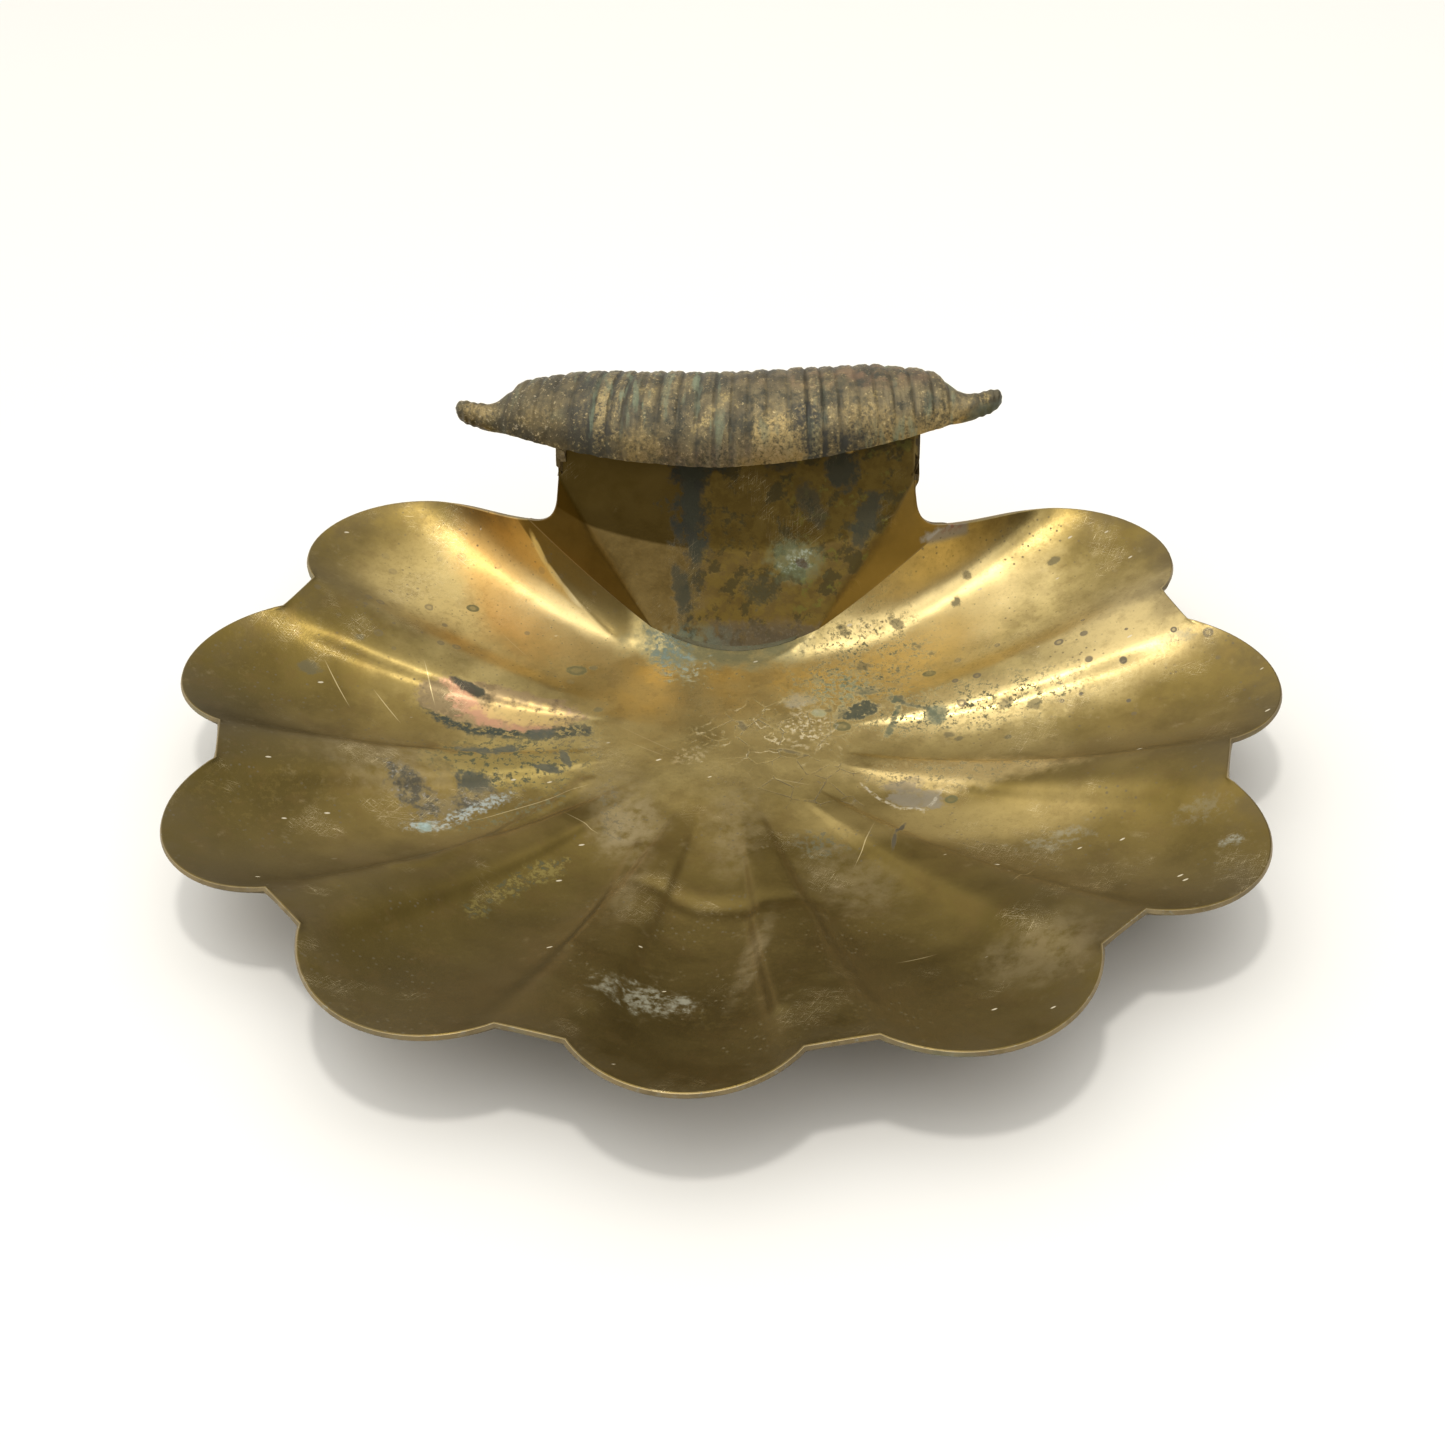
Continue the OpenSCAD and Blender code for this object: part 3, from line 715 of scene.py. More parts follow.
def group(name, ins, outs, build):
    """A node group; build(nodes, inputs) returns what goes to its outputs."""
    tree = bpy.data.node_groups.new(name, "ShaderNodeTree")
    for way, names in (("INPUT", ins), ("OUTPUT", outs)):
        for key in names:
            kind = "NodeSocketColor" if key.startswith("Colour") else "NodeSocketFloat"
            tree.interface.new_socket(key, in_out=way, socket_type=kind)
    start, end = tree.nodes.new("NodeGroupInput"), tree.nodes.new("NodeGroupOutput")
    g = Nodes(tree)
    for socket, value in zip(end.inputs, build(g, start.outputs)):
        g.put(socket, value)
    return tree


def far_nodes(g, v):
    k = g.math("MULTIPLY_ADD", v[0], v[2], g.math("MULTIPLY_ADD", v[1], v[3], v[4]))
    m = g.math("MULTIPLY_ADD", v[0], v[5], g.math("MULTIPLY_ADD", v[1], v[6], v[7]))
    return [g.math("SQRT", g.math("MULTIPLY_ADD", k, k, g.mul(m, m)))]


def edge_nodes(g, v):
    shift = g.mul(g.math("SUBTRACT", v[1], 0.5), v[2])
    return [g.span(g.add(v[0], shift), g.add(1.0, v[3]), g.math("SUBTRACT", 1.0, v[3]))]


def lay_nodes(g, v):
    return [g.col(v[0], v[1], v[2]), g.num(v[0], v[3], v[4]), g.num(v[0], v[5], v[6])]


FAR = group("place", ["P", "Q", "A", "B", "C", "D", "E", "F"], ["Distance"], far_nodes)
EDGE = group("ragged_edge", ["Distance", "Noise", "Ragged", "Soft"], ["Mask"], edge_nodes)
LAY = group("layer", ["Mask", "Colour under", "Colour", "Rough under", "Rough", "Metal under", "Metal"],
            ["Colour", "Rough", "Metal"], lay_nodes)


class Graph(Nodes):
    """A material built up in layers, each with a mask, a colour and a finish."""

    def __init__(self, name):
        self.mat = bpy.data.materials.new(name)
        self.mat.use_nodes = True
        super().__init__(self.mat.node_tree)
        self.nt.nodes.clear()
        self.out = self.nt.nodes.new("ShaderNodeOutputMaterial")
        co = self.nt.nodes.new("ShaderNodeTexCoord")
        self.raw = co.outputs["Object"]
        self.pos = self.moved()
        self.axes = [self.axis(self.pos, i) for i in range(3)]
        self.flat = (0, 1)
        self.kept = {}

    def of(self, tree, *values):
        n = self.nt.nodes.new("ShaderNodeGroup")
        n.node_tree = tree
        for socket, value in zip(n.inputs, values):
            self.put(socket, value)
        return n.outputs

    def moved(self, at=(0, 0, 0), scale=(1, 1, 1), turn=0.0):
        """Position in mm, moved to a place, turned about Z and divided by scale."""
        n = self.nt.nodes.new("ShaderNodeMapping")
        n.vector_type = "TEXTURE"
        self.put(n.inputs["Vector"], self.raw)
        n.inputs["Location"].default_value = [v * MM for v in at]
        n.inputs["Rotation"].default_value = (0, 0, rad(turn))
        n.inputs["Scale"].default_value = [v * MM for v in scale]
        return n.outputs[0]

    def noise(self, size, detail=4.0, rough=0.6, shift=0.0, vec=None):
        """Noise from about 0.25 to 0.75 with features of that size; asked again, it's the same one."""
        key = (size, detail, rough, shift, vec and vec.node.name)
        if key not in self.kept:
            n = self.nt.nodes.new("ShaderNodeTexNoise")
            n.noise_dimensions = "4D"
            self.put(n.inputs["Vector"], vec or self.pos)
            n.inputs["W"].default_value = shift
            n.inputs["Scale"].default_value = 1.0 / size
            n.inputs["Detail"].default_value = detail
            n.inputs["Roughness"].default_value = rough
            self.kept[key] = n.outputs["Fac"]
        return self.kept[key]

    def cells(self, size, feature="F1", vec=None):
        """Distance and two random numbers of the cell."""
        n = self.nt.nodes.new("ShaderNodeTexVoronoi")
        n.feature = feature
        self.put(n.inputs["Vector"], vec or self.pos)
        n.inputs["Scale"].default_value = 1.0 / size
        if feature != "F1":
            return n.outputs["Distance"]
        s = self.nt.nodes.new("ShaderNodeSeparateColor")
        self.put(s.inputs[0], n.outputs["Color"])
        return n.outputs["Distance"], s.outputs[0], s.outputs[1]

    def attr(self, name):
        n = self.nt.nodes.new("ShaderNodeAttribute")
        n.attribute_name = name
        return n.outputs["Fac"]

    def axis(self, vec, i):
        n = self.nt.nodes.new("ShaderNodeSeparateXYZ")
        self.put(n.inputs[0], vec)
        return n.outputs[i]

    def far(self, at, size, turn=0.0):
        """Distance from a place in half sizes, on the material's two flat axes."""
        p, q = (self.axes[i] for i in self.flat)
        c, s = cos(rad(turn)), sin(rad(turn))
        rows = [(a / r, b / r, -(at[0] * a + at[1] * b) / r) for a, b, r in ((c, s, size[0]), (-s, c, size[1]))]
        return self.of(FAR, p, q, *rows[0], *rows[1])[0]

    def patch(self, at, size, turn=0.0, ragged=0.5, grain=7, soft=0.25):
        """1 inside an uneven patch of that half size around a place, 0 outside."""
        return self.of(EDGE, self.far(at, size, turn), self.noise(grain, 4.0, 0.65), ragged * 4, soft)[0]

    def streak(self, points, width, ragged=0.3, grain=4):
        """1 on a broken line through the points, fading over its width."""
        got = None
        for (ax, ay), (bx, by) in zip(points, points[1:]):
            half = math.hypot(bx - ax, by - ay) / 2
            turn = math.degrees(math.atan2(by - ay, bx - ax))
            d = self.far(((ax + bx) / 2, (ay + by) / 2), (half + width, width), turn)
            got = d if got is None else self.math("MINIMUM", got, d)
        return self.of(EDGE, got, self.noise(grain, 4.0, 0.65), ragged * 4, 0.35)[0]

    def bump(self, height, strength, dist_mm, below=None):
        n = self.nt.nodes.new("ShaderNodeBump")
        n.inputs["Strength"].default_value = strength
        n.inputs["Distance"].default_value = dist_mm * MM
        self.put(n.inputs["Height"], height)
        if below is not None:
            self.put(n.inputs["Normal"], below)
        return n.outputs[0]

    def start(self, colour, rough, metal, height):
        self.c, self.r, self.m, self.h = colour, rough, metal, height

    def lay(self, mask, colour, metal=0.95, rough=0.45, lift=0.0):
        """Covers what is there, where the mask is, with another colour and finish."""
        self.c, self.r, self.m = self.of(LAY, mask, self.c, colour, self.r, rough, self.m, metal)
        if lift:
            self.h = self.math("MULTIPLY_ADD", mask, lift, self.h)

    def scratches(self, amount, ways):
        """Thin bright lines, each way (turn, number), where the metal was scraped."""
        for turn, k in ways:
            v = self.moved((3.0 * k, 0, 0), (24.0, 0.5, 24.0), turn)
            line = self.math("ABSOLUTE", self.math("SUBTRACT", self.noise(1.0, 1.0, 0.4, k, v), 0.5))
            where = self.span(self.noise(30, 2.0, 0.6, k), 0.56, 0.66)
            self.lay(self.mul(self.span(line, 0.007, 0.0), where, amount), (0.74, 0.62, 0.38), 0.9, 0.34)

    def done(self, *bumps):
        """The finished material; each bump is (height, strength, distance)."""
        normal = None
        for height, strength, dist in bumps:
            normal = self.bump(height, strength, dist, normal)
        b = self.nt.nodes.new("ShaderNodeBsdfPrincipled")
        for key, val in (("Base Color", self.c), ("Roughness", self.r), ("Metallic", self.m), ("Normal", normal)):
            if val is not None:
                self.put(b.inputs[key], val)
        self.nt.links.new(b.outputs[0], self.out.inputs[0])
        return self.mat


BLACK = (0.035, 0.042, 0.028)


def brass_dish():
    g = Graph("aged_brass_dish")
    x, y, z = g.axes
    u, edge, under = g.attr("u"), g.attr("edge"), g.attr("under")
    big, mid, small, fine = g.noise(80, 3, 0.5, 1), g.noise(22, 5, 0.62, 2), g.noise(6, 5, 0.65, 7), g.noise(1.6, 5, 0.7, 3)
    # old brass with an uneven olive and brown tone and fine dark grain; the brighter gold zone over the back and middle
    # is a painted highlight, the darker brass outside it is painted shade
    tone, stain = g.span(big, 0.36, 0.62), g.span(mid, 0.46, 0.70, 0.0, 0.42)
    shaded_brass = g.col(stain, g.col(tone, (0.150, 0.108, 0.030), (0.225, 0.162, 0.050)), (0.095, 0.066, 0.020))
    kept = g.col(stain, g.col(tone, (0.58, 0.460, 0.195), (0.74, 0.590, 0.265)), (0.42, 0.330, 0.135))
    lit_zone = g.patch((14, 52), (128, 76), 4, 0.16, 18, 0.5)
    r = g.add(g.span(mid, 0.32, 0.68, 0.33, 0.46), g.span(fine, 0.5, 0.75, 0.0, 0.08))
    g.start(g.col(lit_zone, shaded_brass, kept), r, g.span(fine, 0.62, 0.8, 1.0, 0.8), g.mul(fine, 0.5))
    # painted highlights and painted shade: lighter gold patches on the flanks and near the hub where the lamps reflect,
    # darker towards the front and at the far left and right
    g.lay(g.mul(g.patch((-176, -72), (40, 30), 20, 0.16, 18, 0.6), 0.55), (0.07, 0.052, 0.018), 1.0, 0.38)
    g.lay(g.mul(g.patch((172, 40), (38, 24), 20, 0.16, 18, 0.6), 0.65), (0.76, 0.60, 0.29), 1.0, 0.36)
    g.lay(g.mul(g.patch((-122, 84), (46, 28), 20, 0.16, 18, 0.6), 0.55), (0.80, 0.62, 0.27), 1.0, 0.36)
    g.lay(g.mul(g.patch((86, -60), (56, 13), -4, 0.16, 18, 0.6), 0.4), (0.74, 0.57, 0.24), 1.0, 0.38)
    g.lay(g.mul(g.span(y, -80, -165), g.span(mid, 0.25, 0.6, 1.0, 0.75), 0.66), (0.075, 0.054, 0.014), 1.0, 0.36)
    g.lay(g.mul(g.span(x, -140, -205), g.span(y, 30, -30), 0.62), (0.08, 0.06, 0.018), 1.0, 0.38)
    g.lay(g.mul(g.span(x, 150, 210), g.span(y, -20, -70), 0.4), (0.10, 0.07, 0.02), 1.0, 0.38)
    g.lay(g.mul(g.patch((38, -12), (90, 30), 4, 0.16, 18, 0.6), 0.25), (0.60, 0.46, 0.19), 1.0, 0.36)
    g.lay(g.mul(g.patch((-34, 24), (36, 26), 0, 0.16, 18, 0.6), 0.35), (0.36, 0.285, 0.125), 1.0, 0.40)
    grain = g.noise(2.4, 5, 0.7, 9)
    g.lay(g.mul(g.span(grain, 0.50, 0.62), g.span(g.noise(34, 4, 0.6, 11), 0.40, 0.62), 0.30), (0.20, 0.145, 0.045), 0.95, 0.46)
    g.lay(g.mul(g.span(g.noise(11, 5, 0.68, 12), 0.52, 0.60), 0.18), (0.16, 0.10, 0.035), 0.95, 0.42)
    g.lay(g.mul(g.patch((-106, 90), (18, 40), 25, 0.3, 18, 0.5), 0.6), (0.62, 0.34, 0.09), 1.0, 0.38)
    # painted highlights on the back lobes either side of the neck
    g.lay(g.mul(g.patch((92, 74), (46, 20), 30, 0.2, 18, 0.6), 0.6), (0.92, 0.73, 0.36), 1.0, 0.33)
    g.lay(g.mul(g.patch((-78, 72), (30, 18), -42, 0.2, 18, 0.6), 0.6), (0.90, 0.70, 0.34), 1.0, 0.33)
    g.lay(g.mul(g.span(u, 0.86, 1.0), g.span(mid, 0.4, 0.6), 0.5), (0.13, 0.10, 0.05), 0.9, 0.5)
    g.lay(g.span(fine, 0.52, 0.75, 0.0, 0.30), (0.13, 0.095, 0.045), 0.9, 0.5)
    pale = g.mul(g.span(small, 0.56, 0.74), g.span(g.noise(45, 3, 0.6, 9), 0.45, 0.6))
    g.lay(g.mul(pale, 0.2), (0.50, 0.41, 0.24), 0.95, 0.48)
    grit = g.mul(g.span(g.noise(1.5, 4, 0.7, 5), 0.50, 0.58), g.span(g.noise(6, 4, 0.6, 6), 0.40, 0.54))
    for at, size, turn, k in (((-40, -52), (13, 26), 12, 0.45), ((-34, -66), (11, 16), -20, 0.55),
                              ((-30, -104), (5, 30), -6, 0.3), ((8, -62), (11, 26), 0, 0.35),
                              ((18, -150), (4, 26), -10, 0.4), ((52, -96), (22, 13), -50, 0.3),
                              ((117, -158), (20, 15), 30, 0.35), ((-130, -44), (28, 16), 0, 0.35)):
        g.lay(g.mul(g.patch(at, size, turn, 0.35, 7, 0.55), g.span(small, 0.3, 0.6), k), (0.37, 0.30, 0.17), 0.9, 0.5)

    # painted shade on the steep wall beside the left seam, above a painted highlight along the fold
    run = g.math("SUBTRACT", -59.0, x)
    wall = g.math("SUBTRACT", z, g.math("MULTIPLY_ADD", g.mul(run, run), 0.011, g.math("MULTIPLY_ADD", run, 0.45, 7.0)))
    wall = g.mul(g.span(wall, -0.5, 1.5), g.span(x, -106, -96), g.span(x, -42, -50), g.span(y, 60, 66))
    g.lay(g.mul(wall, g.inv(under), 0.85), (0.125, 0.088, 0.026), 1.0, 0.36)
    # painted highlight: a thin bright line along the fold
    g.lay(g.mul(g.streak(((-94, 97), (-87, 91), (-80, 85.5), (-72, 79)), 0.55, 0.1), g.inv(under), 0.8), (0.95, 0.80, 0.46), 1.0, 0.3)

    # verdigris in the corner at the foot of the neck, running out over the floor
    g.lay(g.mul(g.patch((-4, 61), (40, 12), 0, 0.35, 7, 0.4), g.span(small, 0.34, 0.56, 0.45, 0.85)),
          (0.16, 0.16, 0.085), 0.4, 0.62)
    g.lay(g.mul(g.patch((-29, 57), (9, 16), 22, 0.5, 4, 0.5), g.span(grain, 0.40, 0.58), 0.85),
          (0.13, 0.185, 0.165), 0.1, 0.8)
    g.lay(g.mul(g.patch((-22, 48), (12, 10), 0, 0.6, 4, 0.5), g.span(grain, 0.52, 0.62), 0.7),
          (0.26, 0.33, 0.30), 0.0, 0.9)
    g.lay(g.mul(g.patch((31, 24), (7, 5), 30, 0.5, 4, 0.4), 0.6), (0.26, 0.27, 0.27), 0.3, 0.6)
    g.lay(g.mul(g.patch((39, 15), (3.4, 3.0), 0, 0.3, 4, 0.3), 0.7), (0.16, 0.25, 0.20), 0.2, 0.7)

    # large stripped patch on the left: copper pink, a yellow heart, a black-green shore
    strip = g.patch((-97, 9), (35, 11.5), -4, 0.30, 7, 0.10)
    shore = g.mul(g.inv(strip), g.patch((-94, 5), (36, 14.5), -4, 0.30, 7, 0.10))
    g.lay(g.mul(strip, 0.8), (0.35, 0.25, 0.135), 0.85, 0.5)
    g.lay(g.mul(strip, g.span(g.noise(7, 5, 0.66, 24), 0.50, 0.60), 0.6), (0.17, 0.12, 0.055), 0.7, 0.55)
    g.lay(g.mul(strip, g.patch((-124, 12), (14, 10), 0, 0.7, 4, 0.4), 0.6), (0.19, 0.145, 0.075), 0.8, 0.5)
    g.lay(g.mul(strip, g.streak(((-118, 17), (-110, 7), (-96, 1), (-76, -2)), 4.8, 0.8), g.span(small, 0.30, 0.52, 0.4, 1.0)), (0.50, 0.28, 0.17), 0.9, 0.44)
    g.lay(g.mul(g.patch((-86, 7), (18, 6.0), -4, 0.6, 4, 0.35), 0.8), (0.62, 0.45, 0.18), 0.95, 0.42)
    g.lay(g.mul(strip, g.span(grain, 0.52, 0.64), g.span(x, -100, -70), 0.85), (0.12, 0.085, 0.05), 0.3, 0.7)
    g.lay(g.mul(strip, g.span(grain, 0.46, 0.36), g.span(x, -90, -64), 0.6), (0.46, 0.32, 0.23), 0.8, 0.5)
    g.lay(g.mul(shore, g.span(y, 9, 1), g.span(grain, 0.38, 0.5)), BLACK, 0.1, 0.8, -0.4)
    g.lay(g.mul(g.patch((-112, 17), (9, 2.2), -20, 0.5, 4, 0.3), 0.9), BLACK, 0.1, 0.8)
    yellow = g.patch((-90, -26), (32, 17), 10, 0.5, 7, 0.35)
    g.lay(g.mul(yellow, 0.40), (0.52, 0.41, 0.14), 0.95, 0.42)
    g.lay(g.mul(yellow, g.span(grain, 0.50, 0.58), 0.92), (0.05, 0.06, 0.03), 0.2, 0.75)
    for at, size, turn in (((-102, -22), (9, 4.5), -15), ((-100, -44), (7.5, 4.5), 10), ((-92, -18), (6, 4), 30),
                           ((-66, -21), (2, 7), 25), ((-72, -29), (6, 1.8), 0), ((-78, -4), (6, 4), 0)):
        g.lay(g.mul(g.patch(at, size, turn, 0.5, 4, 0.25), 0.88), (0.07, 0.075, 0.055), 0.15, 0.8)
    g.lay(g.mul(g.patch((-66, -10), (15, 15), 0, 0.4, 7, 0.5), g.span(grain, 0.50, 0.60), 0.7), (0.12, 0.10, 0.05), 0.4, 0.7)
    crust = g.streak(((-128, -50), (-119, -60), (-108, -62), (-94, -50)), 6.0, 0.7)
    g.lay(g.mul(crust, 0.5), (0.22, 0.18, 0.10), 0.7, 0.6)
    g.lay(g.mul(crust, g.span(g.noise(7, 5, 0.66, 24), 0.44, 0.56), g.span(grain, 0.36, 0.5, 0.5, 1.0), 0.9), (0.07, 0.064, 0.045), 0.3, 0.75)
    g.lay(g.mul(crust, g.span(g.noise(1.8, 4, 0.7, 4), 0.55, 0.64), 0.7), (0.29, 0.28, 0.25), 0.0, 0.9)
    salt = g.streak(((-118, -75), (-108, -72), (-98, -60), (-88, -50)), 3.6, 0.7)
    g.lay(g.mul(salt, g.span(g.noise(1.8, 4, 0.7, 14), 0.44, 0.58), 0.75), (0.36, 0.41, 0.40), 0.0, 0.9)
    g.lay(g.mul(g.patch((-114, -75), (4, 3), 30, 0.7, 4, 0.4), 0.6), (0.30, 0.44, 0.45), 0.0, 0.85)
    g.lay(g.mul(g.streak(((-100, -72), (-82, -60), (-66, -46)), 5, 0.5), g.span(grain, 0.50, 0.58), 0.8),
          (0.13, 0.125, 0.06), 0.3, 0.7)
    green = g.most(g.streak(((-80, -116), (-70, -102), (-60, -91)), 4.5, 0.8), g.patch((-84, -126), (5, 5), 0, 0.7, 4, 0.4))
    g.lay(g.mul(green, g.span(grain, 0.54, 0.44), 0.5), (0.34, 0.28, 0.09), 0.9, 0.45)
    g.lay(g.mul(green, g.span(grain, 0.52, 0.60), 0.85), (0.08, 0.08, 0.035), 0.3, 0.75)
    g.lay(g.mul(g.patch((-44, -52), (5, 20), 12, 0.5, 4, 0.4), g.span(grain, 0.50, 0.58), 0.7), (0.14, 0.12, 0.07), 0.4, 0.7)
    g.lay(g.mul(g.patch((-14, -16), (8, 5), 30, 0.5, 4, 0.3), g.span(grain, 0.5, 0.56), 0.8), (0.66, 0.54, 0.30), 0.9, 0.4)

    # right of the floor: black-green blotches in a bright, speckled field
    field = g.most(g.patch((58, 46), (26, 34), -38, 0.35, 7, 0.45), g.patch((96, 14), (50, 13), 4, 0.35, 7, 0.45))
    g.lay(g.mul(field, 0.6), (0.90, 0.71, 0.34), 1.0, 0.34)
    g.lay(g.mul(field, g.span(grain, 0.50, 0.60), 0.45), (0.30, 0.23, 0.09), 0.9, 0.5)
    g.lay(g.mul(field, grit, 0.95), (0.085, 0.09, 0.045), 0.3, 0.75)
    field = g.patch((95, -30), (40, 10), -6, 0.35, 7, 0.45)
    g.lay(g.mul(field, 0.5), (0.84, 0.64, 0.30), 1.0, 0.36)
    g.lay(g.mul(field, grit, 0.75), (0.12, 0.11, 0.055), 0.3, 0.75)
    g.lay(g.mul(g.patch((48, 34), (12, 14), -35, 0.5, 4, 0.5), g.span(grain, 0.46, 0.56), 0.75), (0.15, 0.19, 0.125), 0.2, 0.75)
    for at, size, turn, k in (((57, 17), (8.0, 5.5), 35, 0.95), ((59, 31), (5.5, 2.6), 8, 0.6), ((72, 23), (4.2, 2.6), -30, 0.8),
                              ((49, 68), (2.6, 1.8), 0, 0.6), ((73, 75), (3.4, 2.0), -20, 0.6), ((100, 86), (2.6, 2.2), 60, 0.7),
                              ((49, 15), (5, 3), 60, 0.5)):
        m = g.mul(g.patch(at, size, turn, 0.7, 4, 0.3), g.span(grain, 0.32, 0.42), k)
        g.lay(m, (0.042, 0.050, 0.032), 0.1, 0.8, -0.4)
    g.lay(g.mul(g.streak(((70, 27), (73, 19), (71, 8), (67, -1)), 1.5, 0.8), g.span(grain, 0.36, 0.5), 0.85), (0.09, 0.105, 0.06), 0.1, 0.8)
    g.lay(g.mul(g.streak(((75, 19), (84, 15), (90, 9)), 1.2, 0.9), g.span(grain, 0.36, 0.5), 0.8), (0.08, 0.09, 0.055), 0.1, 0.8)
    g.lay(g.mul(g.patch((89, 11), (5, 4), 40, 0.4, 4, 0.3), 0.75), (0.13, 0.155, 0.10), 0.2, 0.75)
    for at, r in (((49, 6), 4.0), ((87, 41), 2.8), ((93, -45), 2.6), ((-69, 42), 4.2), ((-120, 74), 2.8)):
        d = g.add(g.far(at, (r, r * 0.8)), g.math("MULTIPLY_ADD", small, 0.8, -0.4))
        g.lay(g.mul(g.span(d, 1.15, 0.95), g.span(d, 0.35, 0.75, 0.55, 0.85), g.span(grain, 0.3, 0.5, 0.6, 1.0)), (0.115, 0.115, 0.05), 0.6, 0.6)
    for at, r in (((43, 17), 1.8), ((58, 50), 4.0), ((88, 56), 1.5), ((83, 62), 1.5), ((94, 0), 2.6), ((98, -3), 2.0),
                  ((118, -5), 1.8), ((144, 101), 3.0), ((105, 97), 2.2), ((-178, 10), 5.0), ((-160, 28), 2.2),
                  ((130, 12), 3.8), ((-100, -8), 2.0), ((-56, 14), 2.6), ((-62, 45), 2.0), ((118, 14), 3.0)):
        g.lay(g.mul(g.patch(at, (r * 0.9, r * 0.7), 20, 0.6, 4, 0.3), 0.7), (0.12, 0.105, 0.055), 0.6, 0.6)
    grey = g.patch((79, -43), (11, 6.5), -12, 0.6, 7, 0.2)
    g.lay(g.mul(grey, g.span(small, 0.3, 0.55, 0.4, 0.75)), (0.235, 0.21, 0.165), 0.45, 0.52)
    g.lay(g.mul(g.patch((74, -35), (7, 3), 0, 0.7, 4, 0.4), 0.6), (0.16, 0.14, 0.11), 0.3, 0.6)
    g.lay(g.mul(g.streak(((58, -34), (64, -42), (72, -49), (83, -50), (88, -42)), 0.8, 0.7), g.span(grain, 0.42, 0.56), 0.7), (0.46, 0.42, 0.33), 0.1, 0.8)
    for at, size, turn, k in (((130, -78), (13, 6), 12, 0.35), ((190, -103), (4, 3), 20, 0.6), ((182, -84), (9, 5), 0, 0.15),
                              ((-17, -176), (15, 8), -6, 0.6), ((190, 26), (6, 3), 0, 0.3), ((39, -72), (10, 8), -30, 0.16)):
        m = g.mul(g.patch(at, size, turn, 0.8, 4, 0.45), g.span(g.most(small, grain), 0.46, 0.62), k)
        g.lay(m, (0.33, 0.34, 0.28), 0.15, 0.72)
    g.lay(g.mul(g.patch((41, -72), (10, 8), -30, 0.5, 4, 0.4), g.span(grain, 0.50, 0.58), 0.75), (0.10, 0.095, 0.05), 0.3, 0.75)
    g.lay(g.mul(g.span(g.far((97, 97), (13, 8.5), -10), 1.15, 0.85), g.span(z, 38, 42), 0.8), (0.25, 0.22, 0.19), 0.2, 0.75, 0.4)
    g.lay(g.mul(g.patch((99, 98), (7, 4), -10, 0.5, 4, 0.3), g.span(z, 42, 46), g.span(grain, 0.46, 0.56), 0.8), (0.24, 0.09, 0.05), 0.1, 0.8)

    # ring spots in clusters, tide lines and fine dark cracks
    cluster = g.most(g.patch((170, 16), (34, 22), 25, 0.3, 18, 0.4), g.mul(g.patch((120, 34), (52, 22), 18, 0.4, 18, 0.5), 0.9))
    cluster = g.most(cluster, g.mul(g.patch((-120, 60), (60, 34), 0, 0.4, 18, 0.5), 0.6))
    d, one, two = g.cells(8.5)
    d = g.math("DIVIDE", d, g.span(two, 0.0, 1.0, 0.10, 0.26))
    dot = g.mul(g.span(d, 1.15, 0.9), g.span(one, 0.42, 0.44), cluster)
    g.lay(g.mul(dot, g.span(d, 0.35, 0.65, 0.45, 0.92)), (0.13, 0.11, 0.075), 0.55, 0.6)
    d, one, two = g.cells(3.2)
    g.lay(g.mul(g.span(d, 0.22, 0.13), g.span(g.noise(26, 3, 0.6, 20), 0.48, 0.62), 0.55), (0.12, 0.10, 0.06), 0.3, 0.7)
    g.lay(g.mul(g.span(d, 0.16, 0.09), g.span(one, 0.45, 0.5), g.span(y, -60, 20), 0.5), (0.15, 0.115, 0.05), 0.6, 0.6)
    near = g.patch((20, 0), (30, 22), 0, 0.2, 18, 0.35)
    tide = g.math("ABSOLUTE", g.math("SUBTRACT", g.noise(18, 4, 0.5, 21), 0.49))
    g.lay(g.mul(g.span(tide, 0.012, 0.002), near, g.span(small, 0.42, 0.56), 0.5), (0.56, 0.52, 0.40), 0.1, 0.8)
    g.lay(g.mul(g.patch((33, 6), (9, 14), 0, 0.5, 7, 0.5), g.span(grain, 0.50, 0.60), 0.6), (0.58, 0.54, 0.44), 0.2, 0.8)
    crack = g.span(g.cells(14, "DISTANCE_TO_EDGE"), 0.022, 0.006)
    crack = g.mul(crack, g.most(g.patch((38, -30), (26, 20), -40, 0.4, 7, 0.3), near), g.span(small, 0.42, 0.54))
    crack = g.most(g.mul(crack, 0.8), g.streak(((74, -60), (70, -70), (69, -80)), 0.9, 0.3))
    g.lay(crack, (0.08, 0.065, 0.035), 0.3, 0.8, -0.5)

